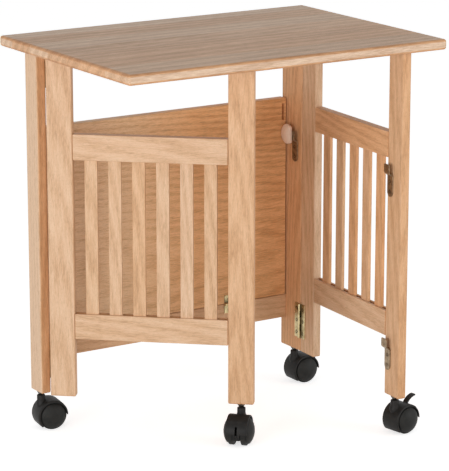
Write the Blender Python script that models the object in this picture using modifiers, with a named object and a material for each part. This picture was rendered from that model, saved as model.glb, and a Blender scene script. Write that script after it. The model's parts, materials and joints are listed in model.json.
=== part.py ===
"""Folding printer stand in pale wood: a fixed top on a back frame, a shelf folded up against
the back, two slatted side panels that swing like gate legs, and four twin-wheel casters.

Metres, +Z up. The floor is z = 0 and the origin is under the middle of the top. The back frame
runs along +X at the back (+Y); the left panel is folded in and the right panel is nearly square.
"""
import math

import bmesh
import bpy
from mathutils import Matrix, Vector

# Driving dimensions: the top
TOP_LENGTH = 0.610
TOP_DEPTH = 0.430
TOP_THICKNESS = 0.018
TOP_EDGE_ROUND = 0.006
TOP_END_OVERHANG = 0.037
TOP_SIDE_OVERHANG = 0.019

# The base under it
POST_LENGTH = 0.600
POST_EDGE_ROUND = 0.0025

# The back frame
BACK_POST_THICKNESS = 0.018
BACK_LEFT_POST_DEPTH = 0.040
BACK_RIGHT_POST_DEPTH = 0.064
BACK_BOARD_THICKNESS = 0.017
BACK_RAIL_HEIGHT = 0.0425
BACK_RAIL_RAISE = 0.054
SHELF_HEIGHT = 0.363
SHELF_SIDE_GAP = 0.003
SHELF_SEAM = 0.0008

# The side panels
PANEL_THICKNESS = 0.016
PANEL_POST_WIDTH = 0.044
PANEL_RAIL_HEIGHT = 0.044
LOWER_RAIL_RAISE = 0.103
UPPER_RAIL_RAISE = 0.4145
PANEL_TOP_GAP = 0.001
PANEL_END_GAP = 0.001
LEFT_SLAT_COUNT = 6
RIGHT_SLAT_COUNT = 5
SLAT_WIDTH = 0.022
SLAT_THICKNESS = 0.006
SLAT_SEAT = 0.006
SLAT_EDGE_ROUND = 0.001
LEFT_PANEL_ANGLE = math.radians(41.0)
RIGHT_PANEL_ANGLE = math.radians(86.5)

# Stub tenons that hold the rails in the posts and the back posts in the top
TENON_LENGTH = 0.011
TENON_THICKNESS = 0.006
RAIL_TENON_HEIGHT = 0.028
TOP_TENON_WIDTH = 0.026

# Butt hinges
SIDE_HINGE_LENGTH = 0.0635
SHELF_HINGE_LENGTH = 0.051
HINGE_LEAF_WIDTH = 0.0165
HINGE_LEAF_THICKNESS = 0.0015
HINGE_KNUCKLE_RADIUS = 0.0025
HINGE_PIN_RADIUS = 0.0012
HINGE_PIN_STANDOFF = 0.003
HINGE_KNUCKLES = 5
HINGE_TAB_INSET = 0.0002
LOWER_HINGE_RAISE = 0.026
UPPER_HINGE_DROP = 0.003
SHELF_HINGE_OFFSET = 0.142
SCREW_HOLE_RADIUS = 0.0022
SCREW_HOLES_PER_LEAF = 3
SCREW_HOLE_END_MARGIN = 0.0095

# Strap clips on the posts and the button that holds the shelf
STRAP_WIDTH = 0.0165
STRAP_LENGTH = 0.057
STRAP_THICKNESS = 0.0018
STRAP_STANDOFF = 0.0075
STRAP_TONGUE = 0.0135
STRAP_BEND = 0.008
STRAP_HOLE_LOW = 0.007
STRAP_HOLE_HIGH = 0.026
STRAP_TO_PANEL_END = 0.033
LOWER_STRAP_TIP = 0.102
UPPER_STRAP_TIP = 0.406
CATCH_FROM_POST_FRONT = 0.0195
BUTTON_RADIUS = 0.018
BUTTON_THICKNESS = 0.0085
BUTTON_ROUND = 0.003
BUTTON_DROP = 0.0075

# Casters
CASTER_HEIGHT = 0.068
CASTER_TRAIL = 0.016
CASTER_WIDTH = 0.053
WHEEL_RADIUS = 0.025
WHEEL_GAP = 0.0135
WHEEL_DOME = 0.007
WHEEL_FACE_RADIUS = 0.0125
WHEEL_FACE_DROP = 0.0014
WHEEL_SHOULDER_RADIUS = 0.0205
WHEEL_SHOULDER_DROP = 0.0045
WHEEL_RIM_RADIUS = 0.02375
WHEEL_TREAD_EASE = 0.0042
WHEEL_INNER_EASE = 0.0021
HOOD_THICKNESS = 0.0016
HOOD_WIDTH = 0.0375
WEB_CLEARANCE = 0.006
HOOD_FRONT_END = math.radians(0.0)
HOOD_BACK_END = math.radians(222.0)
NECK_RADIUS = 0.0072
NECK_TOP = 0.061
AXLE_RADIUS = 0.003
STEM_RADIUS = 0.0035
STEM_IN_POST = 0.032
STEM_FLANGE_RADIUS = 0.007
STEM_FLANGE_HEIGHT = 0.0055
STEM_TIP_EASE = 0.001
LEVER_WIDTH = 0.0085
LEVER_THICKNESS = 0.003
LEVER_LENGTH = 0.022
LEVER_RISE = math.radians(42.0)
LEVER_PIVOT_FORWARD = 0.008
LEVER_PIVOT_BELOW_HOOD = 0.005
LEVER_SLOT_BEHIND = 0.0045
LEVER_SLOT_BELOW = 0.003
CASTER_HEADINGS = {
    "back_left": math.radians(-8.5),
    "back_right": math.radians(0.0),
    "left_front": math.radians(-136.0),
    "right_front": math.radians(8.0),
}

# Clearances and roundness
FIT = 0.0003
RUNNING_FIT = 0.0009
CUT_OVERRUN = 0.001
ROUND_SIDES = 12
NECK_SIDES = 16
BUTTON_SIDES = 24
WHEEL_SIDES = 24
HOOD_SIDES = 14
HINGE_SIDES = 8
LEVER_END_SIDES = 6
WELD_DISTANCE = 0.000001
SHARP_ANGLE = math.radians(35.0)

# Levels and places that follow from the sizes above
POST_BOTTOM = CASTER_HEIGHT
POST_TOP = POST_BOTTOM + POST_LENGTH
BASE_WIDTH = TOP_LENGTH - 2 * TOP_END_OVERHANG
BASE_DEPTH = TOP_DEPTH - 2 * TOP_SIDE_OVERHANG
TOP_UNDERSIDE = POST_TOP + FIT
BACK_FACE = BASE_DEPTH / 2
FRONT_LINE = -BASE_DEPTH / 2
INNER_HALF_WIDTH = BASE_WIDTH / 2 - BACK_POST_THICKNESS
BACK_BOARD_FRONT = BACK_FACE - BACK_BOARD_THICKNESS
LEFT_POST_FRONT = BACK_FACE - BACK_LEFT_POST_DEPTH
RIGHT_POST_FRONT = BACK_FACE - BACK_RIGHT_POST_DEPTH
BACK_RAIL_BOTTOM = POST_BOTTOM + BACK_RAIL_RAISE
SHELF_SEAM_LEVEL = BACK_RAIL_BOTTOM + BACK_RAIL_HEIGHT + SHELF_SEAM / 2
LOWER_RAIL_BOTTOM = POST_BOTTOM + LOWER_RAIL_RAISE
UPPER_RAIL_BOTTOM = POST_BOTTOM + UPPER_RAIL_RAISE
SIDE_HINGE_LEVELS = {
    "lower": POST_BOTTOM + LOWER_HINGE_RAISE + SIDE_HINGE_LENGTH / 2,
    "upper": POST_TOP - PANEL_TOP_GAP - UPPER_HINGE_DROP - SIDE_HINGE_LENGTH / 2,
}
STEM_TOP = POST_BOTTOM + STEM_IN_POST

for old in list(bpy.data.objects):
    bpy.data.objects.remove(old, do_unlink=True)

PARTS = bpy.data.collections.new("printer_stand")
CUTTERS = bpy.data.collections.new("printer_stand_cutters")
bpy.context.scene.collection.children.link(PARTS)
bpy.context.scene.collection.children.link(CUTTERS)


def make_material(name, colour, roughness, metallic=0.0):
    """A plain surface with the piece's colour, roughness and metallic value."""
    material = bpy.data.materials.new(name)
    material.use_nodes = True
    shader = material.node_tree.nodes["Principled BSDF"]
    shader.inputs["Base Color"].default_value = (*colour, 1.0)
    shader.inputs["Roughness"].default_value = roughness
    shader.inputs["Metallic"].default_value = metallic
    return material


PALE_WOOD = (0.66, 0.42, 0.23)
BOARD_WOOD = (0.52, 0.30, 0.15)
BRASS = (0.70, 0.55, 0.25)
BRONZE = (0.28, 0.19, 0.10)
STEEL = (0.55, 0.55, 0.56)
BLACK = (0.03, 0.03, 0.03)
FINISHES = {
    "wood": (PALE_WOOD, 0.45, 0.0),
    "board": (BOARD_WOOD, 0.5, 0.0),
    "brass": (BRASS, 0.35, 1.0),
    "bronze": (BRONZE, 0.45, 1.0),
    "steel": (STEEL, 0.35, 1.0),
    "black": (BLACK, 0.5, 0.0),
}


def add_part(name, mesh, finish, parent=None, location=(0, 0, 0), rotation=(0, 0, 0)):
    """One named piece in the parts collection, with a material of its own."""
    part = bpy.data.objects.new(name, mesh)
    PARTS.objects.link(part)
    part.parent = parent
    part.location = location
    part.rotation_euler = rotation
    mesh.materials.clear()
    mesh.materials.append(make_material(name + "_finish", *FINISHES[finish]))
    return part


def add_pivot(name, location, turn=0.0, parent=None):
    """An empty on a joint's axis, which carries the pieces that turn about it."""
    pivot = bpy.data.objects.new(name, None)
    PARTS.objects.link(pivot)
    pivot.parent = parent
    pivot.location = location
    pivot.rotation_euler = (0, 0, turn)
    return pivot


def box_mesh(name, size):
    """A box of the given size about its own centre."""
    mesh = bpy.data.meshes.new(name)
    work = bmesh.new()
    bmesh.ops.create_cube(work, size=1.0)
    bmesh.ops.scale(work, vec=Vector(size), verts=work.verts)
    work.to_mesh(mesh)
    work.free()
    return mesh


def add_cylinder(work, start, end, radius, sides=ROUND_SIDES):
    """A closed cylinder from start to end, added to a mesh that is being made."""
    start, end = Vector(start), Vector(end)
    run = end - start
    turn = run.to_track_quat("Z", "Y").to_matrix().to_4x4()
    bmesh.ops.create_cone(
        work,
        cap_ends=True,
        segments=sides,
        radius1=radius,
        radius2=radius,
        depth=run.length,
        matrix=Matrix.Translation((start + end) / 2) @ turn,
    )


def smoothed(mesh):
    """The mesh shaded smooth with its sharp edges kept."""
    mesh.shade_smooth()
    mesh.set_sharp_from_angle(angle=SHARP_ANGLE)
    return mesh


def finish_mesh(work, name):
    """The mesh that was being made, shaded smooth with its sharp edges kept."""
    mesh = bpy.data.meshes.new(name)
    work.to_mesh(mesh)
    work.free()
    return smoothed(mesh)


def add_bevel(part, width, segments=2):
    """Rounds every edge of a piece."""
    bevel = part.modifiers.new("rounded_edges", "BEVEL")
    bevel.width = width
    bevel.segments = segments
    bevel.limit_method = "ANGLE"
    bevel.angle_limit = SHARP_ANGLE


def add_boolean(part, mesh, operation="DIFFERENCE", name="cut"):
    """Cuts a piece with a mesh given in the piece's own frame, or joins them."""
    cutter = bpy.data.objects.new(part.name + "_" + name, mesh)
    CUTTERS.objects.link(cutter)
    cutter.parent = part.parent
    cutter.location = part.location
    cutter.rotation_euler = part.rotation_euler
    cutter.hide_render = True
    cutter.display_type = "WIRE"
    boolean = part.modifiers.new(name, "BOOLEAN")
    boolean.operation = operation
    boolean.solver = "EXACT"
    boolean.object = cutter


def settled_mesh(part, name):
    """The piece as its modifiers leave it, as a plain mesh. The piece and its cutters go."""
    bpy.context.view_layer.update()
    seen = part.evaluated_get(bpy.context.evaluated_depsgraph_get())
    mesh = bpy.data.meshes.new_from_object(seen)
    mesh.name = name
    work = bmesh.new()
    work.from_mesh(mesh)
    bmesh.ops.remove_doubles(work, verts=work.verts, dist=WELD_DISTANCE)
    work.to_mesh(mesh)
    work.free()
    spent = [step.object for step in part.modifiers if step.type == "BOOLEAN"]
    for thing in [part] + spent:
        bpy.data.objects.remove(thing, do_unlink=True)
    return mesh


def turned_mesh(name, profile, sides):
    """A solid turned about Z from (radius, height) points that run down its outer side."""
    outline = bpy.data.meshes.new(name + "_profile")
    edges = [(i, i + 1) for i in range(len(profile) - 1)]
    if profile[0][0] > 0:
        edges.append((len(profile) - 1, 0))
    outline.from_pydata([(radius, 0.0, height) for radius, height in profile], edges, [])
    lathe = bpy.data.objects.new(name + "_lathe", outline)
    PARTS.objects.link(lathe)
    screw = lathe.modifiers.new("turn", "SCREW")
    screw.steps = sides
    screw.render_steps = sides
    screw.use_merge_vertices = True
    screw.merge_threshold = WELD_DISTANCE
    return smoothed(settled_mesh(lathe, name))


def outline_mesh(name, points, width):
    """A flat closed outline in the XZ plane, given as (x, z) points, extruded along Y."""
    curve = bpy.data.curves.new(name + "_outline", "CURVE")
    curve.dimensions = "2D"
    curve.fill_mode = "BOTH"
    curve.extrude = width / 2
    spline = curve.splines.new("POLY")
    spline.points.add(len(points) - 1)
    for point, (x, z) in zip(spline.points, points):
        point.co = (x, z, 0.0, 1.0)
    spline.use_cyclic_u = True
    shape = bpy.data.objects.new(name + "_shape", curve)
    PARTS.objects.link(shape)
    mesh = settled_mesh(shape, name)
    mesh.transform(Matrix.Rotation(math.pi / 2, 4, "X"))
    return mesh


def arc_points(centre, radius, start, end, steps):
    """Points along an arc from one angle to another, both ends included."""
    cx, cz = centre
    angles = [start + (end - start) * i / steps for i in range(steps + 1)]
    return [(cx + radius * math.cos(a), cz + radius * math.sin(a)) for a in angles]


def add_box(work, low, high):
    """A closed box between two corners, added to a mesh that is being made."""
    low, high = Vector(low), Vector(high)
    verts = bmesh.ops.create_cube(work, size=1.0)["verts"]
    bmesh.ops.scale(work, vec=high - low, verts=verts)
    bmesh.ops.translate(work, vec=(low + high) / 2, verts=verts)


def add_board(name, low, high, finish="wood", parent=None, edge=POST_EDGE_ROUND):
    """A straight piece of timber between two corners, with eased edges."""
    low, high = Vector(low), Vector(high)
    part = add_part(name, box_mesh(name, high - low), finish, parent, (low + high) / 2)
    add_bevel(part, edge)
    return part


# Holes and mortises that each piece of timber gets, gathered while its neighbours are made
SOCKETS = {}


def note_bore(piece, start, end, radius):
    """Notes a round hole in a piece, given in the frame that the piece is placed in."""
    SOCKETS.setdefault(piece, []).append((Vector(start), Vector(end), radius))


def add_tenon(part, low, high, mortised):
    """Joins a stub tenon to a piece and notes the mortise for it in the piece that takes it."""
    tenon = bmesh.new()
    add_box(tenon, Vector(low) - part.location, Vector(high) - part.location)
    name = "tenon_in_" + mortised
    add_boolean(part, finish_mesh(tenon, part.name + "_" + name), "UNION", name)
    room = Vector((FIT, FIT, FIT))
    SOCKETS.setdefault(mortised, []).append((Vector(low) - room, Vector(high) + room, None))


def cut_sockets():
    """Cuts every noted hole and mortise, with one cutter for each piece."""
    for name, holes in SOCKETS.items():
        part = PARTS.objects[name]
        work = bmesh.new()
        for start, end, radius in holes:
            if radius is None:
                add_box(work, start - part.location, end - part.location)
            else:
                add_cylinder(work, start - part.location, end - part.location, radius)
        add_boolean(part, finish_mesh(work, name + "_sockets"), name="sockets")


# The top: boards glued edge to edge, with a rounded edge all round
tabletop = add_board(
    "tabletop",
    (-TOP_LENGTH / 2, -TOP_DEPTH / 2, TOP_UNDERSIDE),
    (TOP_LENGTH / 2, TOP_DEPTH / 2, TOP_UNDERSIDE + TOP_THICKNESS),
    edge=TOP_EDGE_ROUND,
)
tabletop.modifiers["rounded_edges"].segments = 3

# The back frame: two posts on edge, with the right one deeper by the folded left panel,
# and a bottom rail between them, flush with their back faces
BACK_POST_FRONTS = {"back_left_post": LEFT_POST_FRONT, "back_right_post": RIGHT_POST_FRONT}
BACK_POST_SIDES = {"back_left_post": -1, "back_right_post": 1}
for post_name, side in BACK_POST_SIDES.items():
    faces = sorted((side * INNER_HALF_WIDTH, side * BASE_WIDTH / 2))
    post_front = BACK_POST_FRONTS[post_name]
    back_post = add_board(
        post_name, (faces[0], post_front, POST_BOTTOM), (faces[1], BACK_FACE, POST_TOP)
    )
    post_x, post_y = sum(faces) / 2, (post_front + BACK_FACE) / 2
    half_thick, half_wide = TENON_THICKNESS / 2, TOP_TENON_WIDTH / 2
    add_tenon(
        back_post,
        (post_x - half_thick, post_y - half_wide, POST_TOP - TENON_LENGTH),
        (post_x + half_thick, post_y + half_wide, POST_TOP + TENON_LENGTH),
        "tabletop",
    )

back_rail = add_board(
    "back_bottom_rail",
    (-INNER_HALF_WIDTH + FIT, BACK_BOARD_FRONT, BACK_RAIL_BOTTOM),
    (INNER_HALF_WIDTH - FIT, BACK_FACE, BACK_RAIL_BOTTOM + BACK_RAIL_HEIGHT),
    edge=SLAT_EDGE_ROUND,
)
rail_y = BACK_FACE - BACK_BOARD_THICKNESS / 2
rail_z = BACK_RAIL_BOTTOM + BACK_RAIL_HEIGHT / 2
for post_name, side in BACK_POST_SIDES.items():
    reach = sorted((side * (INNER_HALF_WIDTH - TENON_LENGTH), side * (INNER_HALF_WIDTH + TENON_LENGTH)))
    half_thick, half_high = TENON_THICKNESS / 2, RAIL_TENON_HEIGHT / 2
    add_tenon(
        back_rail,
        (reach[0], rail_y - half_thick, rail_z - half_high),
        (reach[1], rail_y + half_thick, rail_z + half_high),
        post_name,
    )

# The shelf: one board as wide as the frame, standing on the seam above the bottom rail
add_board(
    "fold_shelf",
    (-INNER_HALF_WIDTH + SHELF_SIDE_GAP, BACK_BOARD_FRONT, SHELF_SEAM_LEVEL + SHELF_SEAM / 2),
    (INNER_HALF_WIDTH - SHELF_SIDE_GAP, BACK_FACE, SHELF_SEAM_LEVEL + SHELF_SEAM / 2 + SHELF_HEIGHT),
    finish="board",
    edge=SLAT_EDGE_ROUND,
)

# Butt hinges: a plate with tabs that end in knuckles round the pin, which is staked into one
# leaf. In a leaf's own frame the pin is Z, the plate runs to +X and the wood lies below, at -Y.
LEAF_FACE = -HINGE_PIN_STANDOFF + FIT
LEAF_START = HINGE_KNUCKLE_RADIUS + 2 * FIT
LEAF_MIDDLE = (LEAF_START + HINGE_LEAF_WIDTH) / 2


def leaf_mesh(name, length, holds_pin):
    """A hinge leaf with every second knuckle: the end ones and the pin, or those between."""
    knuckle = (length - (HINGE_KNUCKLES - 1) * FIT) / HINGE_KNUCKLES
    barrels, pin, holes = bmesh.new(), bmesh.new(), bmesh.new()
    comb = [(LEAF_START, -length / 2), (HINGE_LEAF_WIDTH, -length / 2)]
    comb += [(HINGE_LEAF_WIDTH, length / 2), (LEAF_START, length / 2)]
    for index in reversed(range(0 if holds_pin else 1, HINGE_KNUCKLES, 2)):
        low = -length / 2 + index * (knuckle + FIT)
        knuckle_ends = (0, 0, low), (0, 0, low + knuckle)
        add_cylinder(barrels, *knuckle_ends, HINGE_KNUCKLE_RADIUS, sides=HINGE_SIDES)
        tab_low, tab_high = low + HINGE_TAB_INSET, low + knuckle - HINGE_TAB_INSET
        comb += [(LEAF_START, tab_high), (0, tab_high), (0, tab_low), (LEAF_START, tab_low)]
    plate = outline_mesh(name, comb, HINGE_LEAF_THICKNESS)
    plate.transform(Matrix.Translation((0, LEAF_FACE + HINGE_LEAF_THICKNESS / 2, 0)))
    leaf = add_part(name, plate, "brass")
    hole_run = length - 2 * SCREW_HOLE_END_MARGIN
    for index in range(SCREW_HOLES_PER_LEAF):
        level = -length / 2 + SCREW_HOLE_END_MARGIN + index * hole_run / (SCREW_HOLES_PER_LEAF - 1)
        below = (LEAF_MIDDLE, LEAF_FACE - CUT_OVERRUN, level)
        above = (LEAF_MIDDLE, LEAF_FACE + HINGE_LEAF_THICKNESS + CUT_OVERRUN, level)
        add_cylinder(holes, below, above, SCREW_HOLE_RADIUS, sides=HINGE_SIDES)
    add_boolean(leaf, finish_mesh(barrels, name + "_barrels"), "UNION", "barrels")
    pin_end = length / 2 - CUT_OVERRUN
    if holds_pin:
        add_cylinder(pin, (0, 0, -pin_end), (0, 0, pin_end), HINGE_PIN_RADIUS, sides=HINGE_SIDES)
        add_boolean(leaf, finish_mesh(pin, name + "_pin"), "UNION", "pin")
    else:
        bore_ends = (0, 0, -length), (0, 0, length)
        add_cylinder(holes, *bore_ends, HINGE_PIN_RADIUS + FIT, sides=HINGE_SIDES)
        pin.free()
    add_boolean(leaf, finish_mesh(holes, name + "_holes"), "DIFFERENCE", "holes")
    return smoothed(settled_mesh(leaf, name))


SIDE_PIN_LEAF = leaf_mesh("side_pin_leaf", SIDE_HINGE_LENGTH, True)
SIDE_PLAIN_LEAF = leaf_mesh("side_plain_leaf", SIDE_HINGE_LENGTH, False)
SHELF_PIN_LEAF = leaf_mesh("shelf_pin_leaf", SHELF_HINGE_LENGTH, True)
SHELF_PLAIN_LEAF = leaf_mesh("shelf_plain_leaf", SHELF_HINGE_LENGTH, False)


def add_fitting(name, mesh, finish, parent, point, across, out):
    """Places a copy of a fitting at a point, with its X axis across and its Y axis off the wood."""
    across, out = Vector(across), Vector(out)
    turn = Matrix((across, out, across.cross(out))).transposed()
    return add_part(name, mesh.copy(), finish, parent, point, turn.to_euler())


# The shelf's two hinges, with their pins along X on the front of the seam
shelf_pin_y = BACK_BOARD_FRONT - HINGE_PIN_STANDOFF
for side_name, side in (("left", -1), ("right", 1)):
    pin_point = (side * SHELF_HINGE_OFFSET, shelf_pin_y, SHELF_SEAM_LEVEL)
    hinge = "shelf_" + side_name + "_hinge"
    add_fitting(hinge + "_rail_leaf", SHELF_PIN_LEAF, "brass", None, pin_point, (0, 0, -1), (0, -1, 0))
    add_fitting(hinge + "_board_leaf", SHELF_PLAIN_LEAF, "brass", None, pin_point, (0, 0, 1), (0, -1, 0))

# The side panels swing on vertical pins that stand just proud of the inner faces, at the
# front edges of the back posts. In a panel's frame the pin is Z, the panel runs along +X and
# its inner face looks to +Y on the left panel and to -Y on the right one.
PANEL_START = PANEL_END_GAP / 2
LEFT_PIN = (-INNER_HALF_WIDTH + HINGE_PIN_STANDOFF, LEFT_POST_FRONT - PANEL_START)
RIGHT_PIN = (INNER_HALF_WIDTH - HINGE_PIN_STANDOFF, RIGHT_POST_FRONT - PANEL_START)
LEFT_PANEL = add_pivot("left_panel_pivot", (*LEFT_PIN, 0), -LEFT_PANEL_ANGLE)
RIGHT_PANEL = add_pivot("right_panel_pivot", (*RIGHT_PIN, 0), math.pi + RIGHT_PANEL_ANGLE)


def strap_mesh(name):
    """A flat clip with a joggled tongue. Wood is at -Y, the tongue points up and ends at z = 0."""
    half = STRAP_THICKNESS / 2
    near = FIT + half
    far = STRAP_STANDOFF + half
    path = [
        Vector((near, -STRAP_LENGTH)),
        Vector((near, -STRAP_TONGUE - STRAP_BEND)),
        Vector((far, -STRAP_TONGUE)),
        Vector((far, 0.0)),
    ]
    steps = [(b - a).normalized() for a, b in zip(path, path[1:])]
    ways = [steps[0]] + [(a + b).normalized() for a, b in zip(steps, steps[1:])] + [steps[-1]]
    left, right = [], []
    for point, way, step in zip(path, ways, steps + [steps[-1]]):
        sideways = Vector((-way.y, way.x)) * half / way.dot(step)
        left.append(tuple(point + sideways))
        right.append(tuple(point - sideways))
    strap = add_part(name, outline_mesh(name, left + right[::-1], STRAP_WIDTH), "bronze")
    strap.data.transform(Matrix.Rotation(math.pi / 2, 4, "Z"))
    holes = bmesh.new()
    for lift in (STRAP_HOLE_LOW, STRAP_HOLE_HIGH):
        level = -STRAP_LENGTH + lift
        below = (0, -CUT_OVERRUN, level)
        above = (0, STRAP_THICKNESS + CUT_OVERRUN, level)
        add_cylinder(holes, below, above, SCREW_HOLE_RADIUS, sides=HINGE_SIDES)
    add_boolean(strap, finish_mesh(holes, name + "_holes"), "DIFFERENCE", "holes")
    return settled_mesh(strap, name)


STRAP_MESH = strap_mesh("strap")


def build_panel(side_name, pivot, inner, length, slat_count):
    """One slatted side panel with its hinges and strap clips, in its pivot's frame."""
    face = -inner * HINGE_PIN_STANDOFF
    back = face - inner * PANEL_THICKNESS
    y_low, y_high = min(face, back), max(face, back)
    y_middle = (face + back) / 2
    end = PANEL_START + length
    posts = {
        side_name + "_hinge_post": PANEL_START,
        side_name + "_front_post": end - PANEL_POST_WIDTH,
    }
    for post_name, start in posts.items():
        add_board(
            post_name,
            (start, y_low, POST_BOTTOM),
            (start + PANEL_POST_WIDTH, y_high, POST_TOP - PANEL_TOP_GAP),
            parent=pivot,
        )

    rail_start = PANEL_START + PANEL_POST_WIDTH + FIT
    rail_end = end - PANEL_POST_WIDTH - FIT
    rails = {
        side_name + "_bottom_rail": (LOWER_RAIL_BOTTOM, 1),
        side_name + "_top_rail": (UPPER_RAIL_BOTTOM, -1),
    }
    groove_width = SLAT_THICKNESS + 2 * FIT
    half_thick, half_high = TENON_THICKNESS / 2, RAIL_TENON_HEIGHT / 2
    slat_ends = {}
    for rail_name, (bottom, slat_side) in rails.items():
        rail = add_board(
            rail_name,
            (rail_start, y_low, bottom),
            (rail_end, y_high, bottom + PANEL_RAIL_HEIGHT),
            parent=pivot,
            edge=SLAT_EDGE_ROUND,
        )
        groove_size = (rail_end - rail_start + CUT_OVERRUN, groove_width, 2 * SLAT_SEAT)
        groove = box_mesh(rail_name + "_groove", groove_size)
        groove.transform(Matrix.Translation((0, 0, slat_side * PANEL_RAIL_HEIGHT / 2)))
        add_boolean(rail, groove, name="groove")
        mouth = bottom + PANEL_RAIL_HEIGHT / 2 * (1 + slat_side)
        slat_ends[slat_side] = mouth - slat_side * (SLAT_SEAT - FIT)
        tenon_z = bottom + PANEL_RAIL_HEIGHT / 2 - slat_side * SLAT_SEAT / 2
        for post_name, joint_x in zip(posts, (rail_start, rail_end)):
            add_tenon(
                rail,
                (joint_x - TENON_LENGTH, y_middle - half_thick, tenon_z - half_high),
                (joint_x + TENON_LENGTH, y_middle + half_thick, tenon_z + half_high),
                post_name,
            )

    gap = (rail_end - rail_start - slat_count * SLAT_WIDTH) / (slat_count + 1)
    for index in range(slat_count):
        slat_start = rail_start + gap + index * (SLAT_WIDTH + gap)
        slat = add_board(
            side_name + "_slat_" + str(index + 1),
            (slat_start, y_middle - SLAT_THICKNESS / 2, slat_ends[1]),
            (slat_start + SLAT_WIDTH, y_middle + SLAT_THICKNESS / 2, slat_ends[-1]),
            parent=pivot,
            edge=SLAT_EDGE_ROUND,
        )
        slat.modifiers["rounded_edges"].segments = 1

    for place, level in SIDE_HINGE_LEVELS.items():
        hinge = side_name + "_" + place + "_hinge"
        pin_point = (pivot.location.x, pivot.location.y, level)
        post_out, panel_out = (inner, 0, 0), (0, inner, 0)
        add_fitting(hinge + "_post_leaf", SIDE_PIN_LEAF, "brass", None, pin_point, (0, 1, 0), post_out)
        own_point = (0, 0, level)
        add_fitting(hinge + "_panel_leaf", SIDE_PLAIN_LEAF, "brass", pivot, own_point, (1, 0, 0), panel_out)

    for place, tip in (("lower", LOWER_STRAP_TIP), ("upper", UPPER_STRAP_TIP)):
        point = (end - STRAP_TO_PANEL_END, face, POST_BOTTOM + tip)
        strap = side_name + "_" + place + "_strap"
        add_fitting(strap, STRAP_MESH, "bronze", pivot, point, (inner, 0, 0), (0, inner, 0))
    return Vector((end - PANEL_POST_WIDTH / 2, y_middle, 0))


left_length = LEFT_PIN[1] - PANEL_START - FRONT_LINE
right_length = RIGHT_PIN[1] - PANEL_START - FRONT_LINE
left_foot = build_panel("left", LEFT_PANEL, 1, left_length, LEFT_SLAT_COUNT)
right_foot = build_panel("right", RIGHT_PANEL, -1, right_length, RIGHT_SLAT_COUNT)

# The catch: a strap on the right back post carries a round wooden button, which turns on the
# strap's tongue, off its own centre, so that its rim keeps the shelf upright
catch_y = RIGHT_POST_FRONT + CATCH_FROM_POST_FRONT
catch_tip = POST_BOTTOM + UPPER_STRAP_TIP
catch_point = (INNER_HALF_WIDTH, catch_y, catch_tip)
add_fitting("shelf_catch_strap", STRAP_MESH, "bronze", None, catch_point, (0, 1, 0), (-1, 0, 0))

button_face = INNER_HALF_WIDTH - STRAP_STANDOFF - STRAP_THICKNESS - FIT
button_pivot = (button_face - BUTTON_THICKNESS / 2, catch_y, catch_tip - BUTTON_DROP)
button_centre = Vector((0, BACK_BOARD_FRONT - BUTTON_RADIUS - FIT - catch_y, 0))
button_work = bmesh.new()
half_button = Vector((BUTTON_THICKNESS / 2, 0, 0))
button_ends = button_centre - half_button, button_centre + half_button
add_cylinder(button_work, *button_ends, BUTTON_RADIUS, sides=BUTTON_SIDES)
button_mesh = finish_mesh(button_work, "shelf_catch_button")
shelf_button = add_part("shelf_catch_button", button_mesh, "wood", location=button_pivot)
add_bevel(shelf_button, BUTTON_ROUND)

# Casters. In a caster's frame Z is the swivel axis and the wheels trail along +X.
AXLE_LEVEL = WHEEL_RADIUS
HOOD_INNER = WHEEL_RADIUS + RUNNING_FIT
HOOD_OUTER = HOOD_INNER + HOOD_THICKNESS
WEB_HALF = WHEEL_GAP / 2 - RUNNING_FIT
WELL_RADIUS = HOOD_INNER - 2 * FIT
WHEEL_WIDTH = (CASTER_WIDTH - WHEEL_GAP) / 2
AXLE_HALF = WHEEL_GAP / 2 + WHEEL_WIDTH / 2
STEM_LOW = AXLE_LEVEL + 2 * AXLE_RADIUS
LEVER_PIVOT_X = CASTER_TRAIL + LEVER_PIVOT_FORWARD
LEVER_PIVOT_Z = AXLE_LEVEL + HOOD_OUTER - LEVER_PIVOT_BELOW_HOOD


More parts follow.
